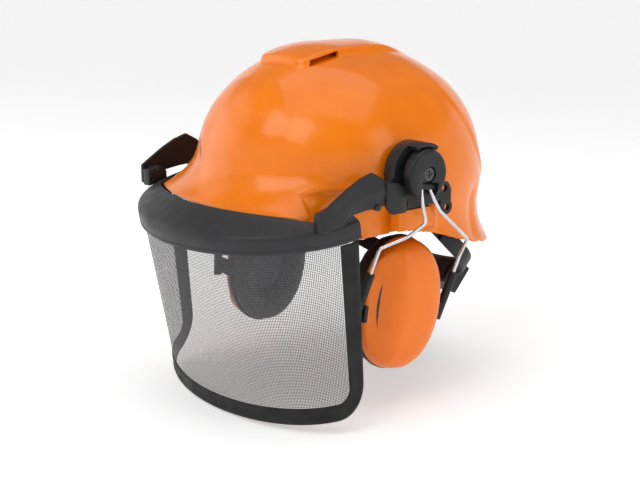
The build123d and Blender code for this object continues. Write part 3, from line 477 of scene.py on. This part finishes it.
def crest_height(x, y):
    """How far the hood along the crown stands up. Its front corners are rounded."""
    side = 32.0 - 6.0 * smooth_step((y - 10.0) / 60.0) - np.abs(x)
    front = y + 68.0
    corner = 14.0
    round_part = corner - np.hypot(corner - side, corner - front)
    edge = np.where((side < corner) & (front < corner), round_part, np.minimum(side, front))
    return 4.8 * smooth_step(edge / 6.0) * smooth_step((72.0 - y) / 60.0)


def panel_height(y, z):
    """Raised panels at the front and rear quarters, with soft creases between them."""
    rear_line = 42.0 + 0.70 * (92.0 - z)
    front_line = -70.0 - 0.62 * (118.0 - z)
    rear = smooth_step((y - rear_line) / 6.0)
    rear *= smooth_step((z + 6.0) / 25.0) * smooth_step((112.0 - z) / 20.0)
    front = smooth_step((front_line - y) / 6.0)
    front *= smooth_step((z - 18.0) / 25.0) * smooth_step((116.0 - z) / 20.0)
    return 1.5 * rear + 1.2 * front


def side_recess(x, y, z):
    """The bay low on each side, behind the peak, and the raised border round it."""
    top = 30.0 - 5.0 * smooth_step((y + 70.0) / 40.0)
    front = -103.0 - 0.25 * (z - 10.0)
    rear = 10.0
    edge = np.minimum(np.minimum(top - z, (y - front) * 0.9), rear - y)
    inside = smooth_step((edge - 1.0) / 4.0)
    border = np.exp(-((edge + 1.0) / 2.6) ** 2)
    wide = smooth_step((np.abs(x) - 66.0) / 14.0)
    return wide * (1.5 * border - 2.2 * inside)


def rear_gutter(y, z):
    """A groove low on the rear quarters, over the rolled edge."""
    low = smooth_step((22.0 - z) / 16.0)
    groove = np.exp(-((y - 66.0) / 6.0) ** 2)
    return -2.6 * groove * low * smooth_step((z + 34.0) / 10.0)


def shell_grid(around=420, down=170):
    """Outer surface of the shell, from the crown to the rolled rim and the peak's edge."""
    centres, outward = plan_outline(around)
    section = dome_section()
    steps = np.concatenate(((0.0,), np.cumsum(np.hypot(*np.diff(section, axis=0).T))))
    rim_y, rim_z = np.array(RIM_LINE, float).T
    grid = np.zeros((down, around, 3))
    for j in range(around):
        foot = DOME_HALF_WIDTH + 4.0
        y_foot = centres[j, 1] + outward[j, 1] * foot
        rim = float(np.interp(y_foot, rim_y, rim_z))
        last = steps[np.argmax(section[:, 1] <= max(rim, SKIRT_FOOT_Z))]
        front = float(smooth_step((-y_foot - 74.0) / 30.0))
        # at the front, the wall leaves the dome above the peak and runs out to its edge
        leave = steps[np.argmax(section[:, 1] <= PEAK_START_Z)]
        s = np.linspace(0.0, 1.0, down) * last
        r = np.interp(s, steps, section[:, 0])
        z = np.interp(s, steps, section[:, 1])
        if front > 0.0:
            s = np.linspace(0.0, 1.0, down)
            part = 0.72
            on_dome = np.minimum(s / part, 1.0) * leave
            r_front = np.interp(on_dome, steps, section[:, 0])
            z_front = np.interp(on_dome, steps, section[:, 1])
            reach = peak_reach(centres[j], outward[j])
            t = np.clip((s - part) / (1.0 - part), 0.0, 1.0)
            start = np.array((np.interp(leave, steps, section[:, 0]), PEAK_START_Z))
            knee = np.array((start[0] + 2.5, 24.0))
            tip = np.array((reach, PEAK_EDGE_Z - 0.2))
            curve = [(1 - t) ** 2 * start[k] + 2 * t * (1 - t) * knee[k] + t ** 2 * tip[k] for k in (0, 1)]
            r_front = np.where(s > part, curve[0], r_front)
            z_front = np.where(s > part, curve[1], z_front)
            r = r * (1 - front) + r_front * front
            z = z * (1 - front) + z_front * front
        grid[:, j, 0] = centres[j, 0] + outward[j, 0] * r
        grid[:, j, 1] = centres[j, 1] + outward[j, 1] * r
        grid[:, j, 2] = z
    return grid


def peak_reach(centre, direction):
    """Distance from a plan centre to the peak's round front edge, no wider than its sides."""
    offset = centre[1] - PEAK_Y
    along = direction[1] * offset
    reach = -along + math.sqrt(along ** 2 - offset ** 2 + PEAK_RADIUS ** 2)
    if abs(direction[0]) > 1e-6:
        reach = min(reach, PEAK_SIDE_X / abs(direction[0]))
    return reach


def grid_normals(grid):
    """Unit normals of a grid that wraps along its columns."""
    down = np.gradient(grid, axis=0)
    across = np.roll(grid, -1, axis=1) - np.roll(grid, 1, axis=1)
    normal = np.cross(down, across)
    length = np.linalg.norm(normal, axis=2, keepdims=True)
    normal = np.where(length > 1e-6, normal / np.maximum(length, 1e-9), (0.0, 0.0, 1.0))
    flip = np.sign(np.sum(normal * (grid - np.array((0.0, 0.0, 10.0))), axis=2, keepdims=True))
    return normal * np.where(flip == 0, 1.0, flip)


def slot_cutter(side):
    """The hood's vent: a slot with a square front end, cut through its side."""
    outline = [(-54.5, 113.8), (-52.5, 118.6), (-26.0, 124.2), (-24.5, 123.4), (-26.0, 119.8)]
    return slab("vent_cutter", outline, side * 20.0, side * 42.0, 0.5)


def build_shell():
    """The dome with its crest, raised panels, side recesses, rolled rim and vents."""
    grid = shell_grid()
    normal = grid_normals(grid)
    x, y, z = grid[..., 0], grid[..., 1], grid[..., 2]
    on_top = smooth_step((z - 70.0) / 20.0)
    relief = crest_height(x, y) * on_top + panel_height(y, z) + rear_gutter(y, z)
    recess = side_recess(x, y, z) * np.sign(x)
    # the last few rows roll over into a rounded rim
    rows = grid.shape[0]
    roll = np.clip((np.arange(rows) - (rows - 7)) / 6.0, 0.0, 1.0)[:, None]
    relief = relief * (1.0 - roll ** 2) - 0.9 * roll ** 2
    grid = grid + normal * relief[..., None]
    grid[..., 0] += recess * (1.0 - roll ** 2)
    # the dome is shorter front to back than its rim
    grid[..., 1] *= 1.0 - DOME_NARROWING * smooth_step((grid[..., 2] - 5.0) / 45.0)
    piece = tidy_normals(grid_mesh("shell_dome", grid, wrap_columns=True))
    wall = piece.modifiers.new("wall", "SOLIDIFY")
    wall.thickness = SHELL_WALL * MM
    wall.offset = -1.0
    apply_modifiers(piece)
    for _, side in SIDES:
        cutter = slot_cutter(side)
        cut = piece.modifiers.new("vent", "BOOLEAN")
        cut.object = cutter
        cut.operation = "DIFFERENCE"
        cut.solver = "EXACT"
        apply_modifiers(piece)
        bpy.data.objects.remove(cutter)
    shade_by_angle(piece, 50)
    return place(piece, "helmet", ORANGE, ("shell",))


def build_vent_tray():
    """The dome's own skin under the hood, which keeps the hollow behind the vents dark."""
    rows = []
    for y in np.linspace(-60.0, -8.0, 24):
        row = []
        for x in np.linspace(-33.0, 33.0, 28):
            reach = math.hypot(x, max(0.0, abs(y) - DOME_STRETCH))
            row.append((x, y * 0.92, CROWN_ARC_Z + math.sqrt(CROWN_ARC_RADIUS ** 2 - reach ** 2) - 3.4))
        rows.append(row)
    piece = grid_mesh("vent_tray", rows)
    wall = piece.modifiers.new("wall", "SOLIDIFY")
    wall.thickness = 1.2 * MM
    apply_modifiers(piece)
    place(piece, "helmet", ORANGE)


def build_sockets():
    """The raised sockets low on the shell's sides, each a sleeve round the adapter's tongue."""
    foot, top = -3.8, 11.8
    parts = ((-36.0, -32.4, 102.5, 112.6, 0.9), (-3.6, 0.0, 102.5, 112.6, 0.9),
             (-34.0, -2.0, 111.4, 112.8, 0.5))
    for name, side in SIDES:
        walls = []
        for front, rear, x_in, x_out, bevel in parts:
            outline = [(front, foot), (rear, foot), (rear, top), (front, top)]
            walls.append(slab("wall", outline, side * x_in, side * x_out, bevel))
        place(join(walls, "shell_socket_" + name), "helmet", ORANGE)


# ---------------------------------------------------------------------- guard and visor


def on_plane(origin, tilt, x, y, up=0.0):
    """A point on a plane that is tipped about the X axis."""
    depth = y * math.cos(tilt) - up * math.sin(tilt)
    height = y * math.sin(tilt) + up * math.cos(tilt)
    return origin + np.array((x, depth, height))


def guard_point(angle, out, up):
    """A point at an offset outwards and upwards from the guard's front edge."""
    x, y = GUARD_HALF_WIDTH * math.cos(angle), GUARD_REACH * math.sin(angle)
    normal = np.array((x / GUARD_HALF_WIDTH ** 2, y / GUARD_REACH ** 2))
    normal /= np.linalg.norm(normal)
    return on_plane(GUARD_ORIGIN, GUARD_TILT, x + normal[0] * out, y + normal[1] * out, up)


def lip_width(angle):
    """How far the guard's lip reaches in before it would meet the peak."""
    for width in np.arange(LIP_WIDEST, LIP_NARROWEST, -0.25):
        point = guard_point(angle, -width, width * LIP_SLOPE)
        if abs(point[0]) > LIP_SIDE_X or math.hypot(point[0], point[1] - PEAK_Y) > PEAK_RADIUS + 0.9:
            return float(width)
    return LIP_NARROWEST


def guard_section(width):
    """The guard's outline: a sloping lip, then a band with a groove round it."""
    slope = LIP_SLOPE
    return [(-width + 0.6, width * slope), (-width * 0.6, width * slope * 0.68), (-5.0, 2.9), (-2.4, 1.5),
            (-1.0, 0.3), (-0.25, -1.0), (0.0, -2.4), (0.0, -8.6), (-0.35, -9.2), (-0.35, -9.8), (0.0, -10.4),
            (0.0, -12.4), (-0.5, -13.0), (-1.9, -13.0), (-2.4, -12.5), (-2.4, -2.2), (-3.2, -0.9),
            (-5.4, 0.5), (-width * 0.6, width * slope * 0.68 - 2.3), (-width + 0.6, width * slope - 2.2),
            (-width, width * slope - 1.6), (-width, width * slope - 0.4)]


def build_guard():
    """The brow guard, swept round its front edge, with a lip that stops short of the peak."""
    turns = np.linspace(180, 360, 150)
    widths = [lip_width(math.radians(degrees)) for degrees in turns]
    widths = np.convolve(np.pad(widths, 4, mode="edge"), np.ones(9) / 9.0, mode="valid")
    rows = []
    for smoothed, degrees in zip(widths, turns):
        angle = math.radians(degrees)
        width = min(smoothed, lip_width(angle) + 0.3)
        rows.append([guard_point(angle, out, up) for out, up in guard_section(width)])
    piece = grid_mesh("brow_guard_body", rows, wrap_columns=True, caps=True)
    tidy_normals(piece)
    shade_by_angle(piece, 40)
    place(piece, "visor", CHARCOAL, ("brow_guard",))


def visor_point(u, v, lift=0.0):
    """The visor's curved sheet: u is 0 to 1 across and v is 0 to 1 down. Lift is outwards."""
    angle = math.pi * (1.0 + u)
    inset = VISOR_INSET - lift
    top = on_plane(GUARD_ORIGIN, GUARD_TILT, (GUARD_HALF_WIDTH - inset) * math.cos(angle),
                   (GUARD_REACH - inset) * math.sin(angle), -3.0)
    foot = on_plane(VISOR_FOOT, RIM_TILT, (VISOR_FOOT_HALF_WIDTH - inset) * math.cos(angle),
                    (VISOR_FOOT_REACH - inset) * math.sin(angle))
    return top * (1.0 - v) + foot * v


VISOR_HEIGHT = 146.0
VISOR_ANGLES = np.linspace(0.0, 1.0, 400)
VISOR_LINE = np.array([visor_point(u, 0.6) for u in VISOR_ANGLES])
VISOR_STEPS = np.concatenate(((0.0,), np.cumsum(np.linalg.norm(np.diff(VISOR_LINE, axis=0), axis=1))))
VISOR_WIDTH = float(VISOR_STEPS[-1])


def visor_at(across, down, lift=0.0):
    """The same sheet by millimetres across and down."""
    u = float(np.interp(across, VISOR_STEPS, VISOR_ANGLES))
    return visor_point(u, down / VISOR_HEIGHT, lift)


def build_screen():
    """The wire screen, with a UV map in millimetres for its weave."""
    margin = 8.0
    across = np.linspace(margin, VISOR_WIDTH - margin, 110)
    down = np.linspace(2.0, VISOR_HEIGHT - margin, 44)
    grid = [[visor_at(a, d) for a in across] for d in down]
    piece = grid_mesh("screen_mesh", grid)
    layer = piece.data.uv_layers.new(name="weave")
    columns = len(across)
    for loop in piece.data.loops:
        i, j = divmod(loop.vertex_index, columns)
        layer.data[loop.index].uv = (across[j], down[i])
    place(piece, "visor", SCREEN, ("visor_mesh",))


def binding_path():
    """The visor's edge from one top corner down, along the rim and up again, with inward directions."""
    radius, top, bottom = BINDING_CORNER, 12.0, VISOR_HEIGHT
    path = [((0.0, v), (1.0, 0.0)) for v in np.linspace(top, bottom - radius, 24)]
    for a in np.linspace(0, math.pi / 2, 12)[1:-1]:
        path.append(((radius - radius * math.cos(a), bottom - radius + radius * math.sin(a)),
                     (math.cos(a), -math.sin(a))))
    path += [((u, bottom), (0.0, -1.0)) for u in np.linspace(radius, VISOR_WIDTH - radius, 70)]
    for a in np.linspace(math.pi / 2, 0, 12)[1:-1]:
        path.append(((VISOR_WIDTH - radius + radius * math.cos(a), bottom - radius + radius * math.sin(a)),
                     (-math.cos(a), -math.sin(a))))
    path += [((VISOR_WIDTH, v), (-1.0, 0.0)) for v in np.linspace(bottom - radius, top, 24)]
    return path


def build_binding():
    """A folded strip round the screen's edge, with a rolled outer edge and a stitched inner one."""
    section = [(0.0, 0.7), (0.8, 1.5), (2.4, 1.75), (4.2, 1.45), (5.0, 1.15), (11.0, 1.05), (12.4, 0.9),
               (13.0, 0.4), (13.0, -0.4), (12.4, -0.9), (11.0, -1.05), (5.0, -1.15), (2.4, -1.4),
               (0.8, -1.3), (0.0, -0.7)]
    rows = []
    for (across, down), (inward_x, inward_y) in binding_path():
        rows.append([visor_at(across + inward_x * w, down + inward_y * w, lift) for w, lift in section])
    piece = tidy_normals(grid_mesh("screen_binding", rows, wrap_columns=True, caps=True))
    shade_by_angle(piece, 50)
    place(piece, "visor", BINDING, ("mesh_binding",))


def faceted_plate(name, rim, ridge, owners, x_in, x_out, side):
    """A plate whose outer face rises to a few ridge points. Owners say which one each rim point meets."""
    count = len(rim)
    points = [(side * x_in, y, z) for y, z in rim] + [(side * x_out, y, z) for y, z in rim]
    points += [(side * x, y, z) for x, y, z in ridge]
    faces = [tuple(range(count))]
    faces += [(i, (i + 1) % count, count + (i + 1) % count, count + i) for i in range(count)]
    top = 2 * count
    for i in range(count):
        j = (i + 1) % count
        a, b = owners[i], owners[j]
        faces.append((count + i, count + j, top + a))
        if a != b:
            faces.append((count + j, top + b, top + a))
    piece = tidy_normals(make_mesh(name, points, faces))
    add_bevel(piece, 0.5, 2, 20)
    apply_modifiers(piece)
    return shade_by_angle(piece, 14)


def build_arms():
    """Faceted arms from the guard's ends to the hinges, with foot, flap, stop peg and screw."""
    main_rim = [(-115, 9.0), (-115, 24), (-104, 31), (-94, 37), (-82, 43), (-70, 46.5), (-60, 41), (-52, 34),
                (-52, 21), (-60, 20.5), (-78, 19.5), (-93, 17.5), (-97, 11.4)]
    main_ridge = [(121.6, -106, 20), (122.4, -90, 28), (122.8, -68, 34), (121.4, -56, 30)]
    main_owners = (0, 0, 0, 1, 1, 2, 2, 3, 3, 3, 2, 1, 0)
    flap_rim = [(-58, 38), (-46.5, 36.5), (-39, 32), (-37.5, 13.2), (-51, 13.2), (-58, 22)]
    flap_ridge = [(124.4, -50, 28), (124.2, -44, 22)]
    foot_rim = [(-115, 7.2), (-97, 11.6), (-97, 19), (-104, 24), (-115, 21)]
    for name, side in SIDES:
        main = faceted_plate("main", main_rim, main_ridge, main_owners, 117.2, 120.2, side)
        flap = faceted_plate("flap", flap_rim, flap_ridge, (0, 0, 1, 1, 0, 0), 117.2, 122.0, side)
        foot = slab("foot", foot_rim, side * 107.6, side * 117.4, 1.2)
        peg = lathe("peg", (-65, 20.5), [(0.0, 121.8), (2.0, 121.8), (2.6, 121.0), (2.6, 115.0)], side, 20)
        pin = lathe("pin", (-47, 30), [(3.0, 113.0), (3.0, 118.0)], side, 24)
        arm = join([main, flap, foot, peg, pin], "visor_arm_body_" + name)
        place(arm, "visor", ARM_GREY, ("visor_arm_" + name,))


def lathe(name, centre, profile, side, count=48):
    """A turned piece about an axis along X: profile holds (radius, x) points."""
    rows = []
    for radius, x in profile:
        rows.append([(side * x, centre[0] + radius * math.cos(a), centre[1] + radius * math.sin(a))
                     for a in np.linspace(0, 2 * math.pi, count, endpoint=False)])
    piece = tidy_normals(grid_mesh(name, rows, wrap_columns=True))
    return shade_by_angle(piece, 35)


# --------------------------------------------------------------------------- ear parts


def ring_points(x, half_width, half_height, side, count):
    """One ring of an ear cup, a little squarer than an oval, in the ear defender's leaning plane."""
    power = 2.1
    points = []
    for a in np.linspace(0, 2 * math.pi, count, endpoint=False):
        c, s = math.cos(a), math.sin(a)
        back = CUP_BACK + half_width * math.copysign(abs(c) ** (2 / power), c)
        up = CUP_UP + half_height * math.copysign(abs(s) ** (2 / power), s)
        points.append(ear_frame(x, back, up, side))
    return points


def build_cup(name, side):
    """A domed cup with a flat flank down its front side and a rolled rim."""
    inner = [(102.5, 0.05), (102.5, 0.5), (101.5, 0.74), (97.0, 0.88), (88.0, 0.93), (84.2, 0.94)]
    outer = [(83.9, 0.955), (84.0, 0.99), (84.6, 1.0), (86.4, 1.0), (87.2, 0.985), (88.4, 0.985),
             (93.0, 0.975), (97.5, 0.945), (101.0, 0.89), (103.4, 0.81), (104.8, 0.70), (105.5, 0.55),
             (105.8, 0.38), (105.95, 0.2), (CUP_OUT, 0.06)]
    rings = inner + outer
    grid = np.array([ring_points(x, CUP_HALF_WIDTH * k, CUP_HALF_HEIGHT * k, side, 96) for x, k in rings])
    back = (grid[..., 1] - TURRET_Y) * math.cos(EAR_LEAN) - (grid[..., 2] - TURRET_Z) * math.sin(EAR_LEAN)
    up = (grid[..., 1] - TURRET_Y) * math.sin(EAR_LEAN) + (grid[..., 2] - TURRET_Z) * math.cos(EAR_LEAN)
    # in front of a bowed line the dome is cut down to a ramp; the inner wall stays 3 mm under it
    ramp_start = 15.0 + 0.0022 * (up - CUP_UP) ** 2
    ceiling = CUP_OUT - np.clip((ramp_start - back) * 0.8, 0.0, None)
    x = np.abs(grid[..., 0])
    inner_rows = (np.arange(len(rings)) < len(inner))[:, None]
    blend = np.minimum(x, ceiling - np.where(inner_rows, 3.0, 0.0))
    softened = np.where(x > CUP_SHOULDER, np.maximum(blend, CUP_SHOULDER + 0.3 * (x - CUP_SHOULDER)), x)
    grid[..., 0] = side * softened
    piece = tidy_normals(grid_mesh("ear_cup_" + name, grid, wrap_columns=True, caps=True))
    shade_by_angle(piece, 34)
    place(piece, "cup_" + name, CUP_ORANGE, ("cup_shell_" + name,))


def build_cushion(name, side):
    """A soft ring that presses round the ear: full, with a seam and gathers near its outer edge."""
    section = [(80.2, 0.985), (78.5, 1.0), (75.0, 1.0), (71.5, 0.975), (69.0, 0.92), (67.5, 0.84),
               (67.2, 0.76), (68.0, 0.67), (70.2, 0.60), (73.5, 0.562), (77.0, 0.56), (80.2, 0.575)]
    count = 120
    grid = np.array([ring_points(x, 37.4 * k, 52.0 * k, side, count) for x, k in section])
    phase = np.linspace(0, 2 * math.pi, count, endpoint=False)
    gather = 0.35 * np.sin(phase * 26) + 0.2 * np.sin(phase * 41 + 1.0)
    weight = np.array([0, 0.3, 0.2, 0.3, 0.5, 0.8, 0.6, 0.9, 1.0, 0.8, 0.3, 0])[:, None]
    grid[..., 0] += side * gather * weight
    piece = tidy_normals(grid_mesh("ear_cushion_soft_" + name, grid, wrap_rows=True, wrap_columns=True))
    place(piece, "cup_" + name, VINYL, ("ear_cushion_" + name,))


def build_liner(name, side):
    """A pad of foam in the cup, pillowed and pressed in at its edge."""
    rings = [(95.0, 0.98), (92.0, 1.0), (88.0, 0.98), (86.4, 0.92), (85.6, 0.8), (85.3, 0.6),
             (85.2, 0.4), (85.2, 0.2), (85.2, 0.04)]
    grid = np.array([ring_points(x, 28.4 * k, 42.6 * k, side, 72) for x, k in rings])
    piece = tidy_normals(grid_mesh("cup_foam_" + name, grid, wrap_columns=True, caps=True))
    place(piece, "cup_" + name, FOAM, ("foam_liner_" + name,))


# ----------------------------------------------------------------------- head harness


def band_grid(outer, inner, height, ends, count=110, centre=(0.0, 0.0)):
    """A padded band on an oval: outer and inner are half axes, ends are the first and last angle."""
    corner = 1.3
    low, high = height
    mid = (low + high) / 2
    rows = []
    for k, degrees in enumerate(np.linspace(*ends, count)):
        a = math.radians(degrees)
        c, s = math.cos(a), math.sin(a)
        taper = min(1.0, 0.25 + 4.0 * min(k, count - 1 - k) / count)
        out_x, out_y = outer[0] * c, outer[1] * s
        in_x, in_y = out_x + (inner[0] - outer[0]) * c * taper, out_y + (inner[1] - outer[1]) * s * taper
        swell = 0.175 * math.sin(k * 0.9)
        loop = [(out_x, out_y, low + corner),
                (out_x, out_y, high - corner),
                ((out_x + in_x) / 2, (out_y + in_y) / 2, high),
                (in_x, in_y, high - corner * 1.5),
                (in_x * (1 - 0.004 * swell), in_y * (1 - 0.004 * swell), mid),
                (in_x, in_y, low + corner * 1.5),
                ((out_x + in_x) / 2, (out_y + in_y) / 2, low)]
        rows.append([(x + centre[0], y + centre[1], z) for x, y, z in loop])
    return np.array(rows)


def build_sweatband():
    """The soft band across the wearer's brow."""
    grid = band_grid((77.6, 96.6), (74.2, 93.2), (-9.6, 15.6), (199.0, 341.0))
    piece = tidy_normals(grid_mesh("sweatband_soft", grid, wrap_columns=True, caps=True))
    soften(piece)
    place(piece, "helmet", VINYL, ("sweatband",))


def nape_place(grid):
    """Put a band that is drawn about the Z axis into the nape band's sloping plane."""
    turn = math.radians(42.5)
    x, along, up = grid[..., 0], grid[..., 1], grid[..., 2]
    y = 20.0 + along * math.cos(turn) + up * math.sin(turn)
    z = -along * math.sin(turn) + up * math.cos(turn)
    return np.stack((x, y, z), -1)


def build_nape_pad():
    """The soft pad inside the nape band."""
    grid = nape_place(band_grid((78.3, 49.6), (73.8, 45.1), (-11.5, 11.5), (63.5, 116.5), 60, (0.0, 62.0)))
    piece = tidy_normals(grid_mesh("nape_pad_soft", grid, wrap_columns=True, caps=True))
    soften(piece)
    place(piece, "nape", VINYL, ("nape_pad",))


def soften(piece):
    """One level of subdivision, applied."""
    rounder = piece.modifiers.new("rounder", "SUBSURF")
    rounder.levels = rounder.render_levels = 1
    apply_modifiers(piece)


def build_strap(name, angle, lift):
    """A webbing strap over the head, thicker at its woven edges."""
    turn = math.radians(angle)
    width_part, length_part = HEAD_HALF_LENGTH * math.cos(turn), HEAD_HALF_WIDTH * math.sin(turn)
    reach = HEAD_HALF_WIDTH * HEAD_HALF_LENGTH / math.sqrt(width_part ** 2 + length_part ** 2) + 5.0
    rise = STRAP_RISE + lift
    section = [(-9, 0.15), (-8.8, 0.5), (-8.0, 0.6), (-7.2, 0.42), (0, 0.4), (7.2, 0.42), (8.0, 0.6),
               (8.8, 0.5), (9, 0.15), (9, -0.15), (8.8, -0.5), (8.0, -0.55), (0, -0.4), (-8.0, -0.55),
               (-8.8, -0.5), (-9, -0.15)]
    rows = []
    for a in np.radians(np.linspace(0, 180, 90)):
        u, z = reach * math.cos(a), STRAP_FOOT + rise * math.sin(a)
        normal = np.array((math.cos(a) / reach, math.sin(a) / rise))
        normal /= np.linalg.norm(normal)
        loop = []
        for across, h in section:
            out, up = u + normal[0] * h, z + normal[1] * h
            x = out * math.cos(turn) - across * math.sin(turn)
            y = out * math.sin(turn) + across * math.cos(turn)
            loop.append((x, y, up))
        rows.append(loop)
    piece = tidy_normals(grid_mesh(name + "_webbing", rows, wrap_columns=True, caps=True))
    shade_by_angle(piece, 60)
    place(piece, "helmet", WEBBING, (name,))


# ---------------------------------------------------------------- CAD nodes that stay

KEPT_LOOKS = {"black_plastic": BLACK, "grey_plastic": ARM_GREY, "white_plastic": WHITE, "wire_steel": WIRE,
              "screw_steel": DARK_STEEL}
SHARP_NODES = ("yoke_pin", "ratchet_pinion", "tail_rack", "wire_yoke", "turret_screw")


def dress_cad_nodes():
    """Procedural materials on the CAD nodes that show, and softened edges on the larger ones."""
    slots = {row["node"]: row["material_slot"] for row in frame["record"]["subparts"]}
    for name, piece in frame["nodes"].items():
        if piece.hide_render:
            continue
        piece.data.materials.clear()
        piece.data.materials.append(KEPT_LOOKS[slots[name]])
        if not name.startswith(SHARP_NODES):
            weld = piece.modifiers.new("weld", "WELD")
            weld.merge_threshold = 1e-6
            flatten = piece.modifiers.new("flatten", "DECIMATE")
            flatten.decimate_type = "DISSOLVE"
            flatten.angle_limit = math.radians(3)
            add_bevel(piece, 0.35, 2, 30)


# ------------------------------------------------------------------------ stage and view


def build_stage():
    """A pale floor that curves up into a low wall far from the object."""
    profile = [(0.0, 0.0), (1.6, 0.0), (2.2, 0.02), (2.7, 0.14), (3.1, 0.45), (3.3, 0.95), (3.4, 1.6)]
    base = cad_low.z / MM - 1.0
    rows = [[(r / MM * math.cos(a), r / MM * math.sin(a), base + z / MM)
             for a in np.linspace(0, 2 * math.pi, 96, endpoint=False)] for r, z in profile]
    floor = tidy_normals(grid_mesh("floor", rows, wrap_columns=True))
    floor.data.materials.append(FLOOR)


def area_light(name, place_at, target, size, power):
    """A rectangular lamp, in metres and watts, that faces a target."""
    light = bpy.data.lights.new(name, "AREA")
    light.shape = "RECTANGLE"
    light.size, light.size_y = size
    light.energy = power
    lamp = bpy.data.objects.new(name, light)
    lamp.location = place_at
    lamp.rotation_euler = (Vector(target) - Vector(place_at)).to_track_quat("-Z", "Y").to_euler()
    bpy.context.scene.collection.objects.link(lamp)


def build_lights():
    """A soft key from the front, a top light, a weak side light and fill, in a white studio."""
    aim = (0, -0.02, 0.0)
    area_light("key", (0.1, -1.5, 1.5), aim, (1.5, 0.9), 13)
    area_light("top", (0.1, 0.1, 1.9), aim, (2.0, 2.0), 15)
    area_light("side", (1.7, 0.55, 0.7), aim, (0.8, 1.5), 5)
    area_light("fill", (-1.6, -0.9, 0.7), aim, (1.2, 1.4), 4)
    world = bpy.data.worlds.new("studio")
    world.use_nodes = True
    world.node_tree.nodes["Background"].inputs["Color"].default_value = (1, 1, 1, 1)
    world.node_tree.nodes["Background"].inputs["Strength"].default_value = 0.26
    bpy.context.scene.world = world
    bpy.context.scene.view_settings.view_transform = "Standard"


def build_camera():
    """A view from the wearer's left and front, a little above, from one metre."""
    azimuth, elevation = math.radians(50), math.radians(14)
    target = Vector((-0.00247, -0.01642, -0.03477))
    back = Vector((math.sin(azimuth) * math.cos(elevation), -math.cos(azimuth) * math.cos(elevation),
                   math.sin(elevation)))
    lens = bpy.data.cameras.new("camera")
    lens.lens = 67.5
    lens.sensor_width = 36.0
    camera = bpy.data.objects.new("camera", lens)
    camera.location = target + back
    camera.rotation_euler = (-back).to_track_quat("-Z", "Y").to_euler()
    bpy.context.scene.collection.objects.link(camera)
    bpy.context.scene.camera = camera


build_camera()
build_lights()
build_stage()
build_shell()
build_vent_tray()
build_sockets()
build_guard()
build_screen()
build_binding()
build_arms()
for side_name, side_sign in SIDES:
    build_cup(side_name, side_sign)
    build_cushion(side_name, side_sign)
    build_liner(side_name, side_sign)
build_sweatband()
build_nape_pad()
build_strap("crown_strap_cross", 0, 0.0)
build_strap("crown_strap_diagonal_a", 60, 1.6)
build_strap("crown_strap_diagonal_b", -60, 3.2)
dress_cad_nodes()
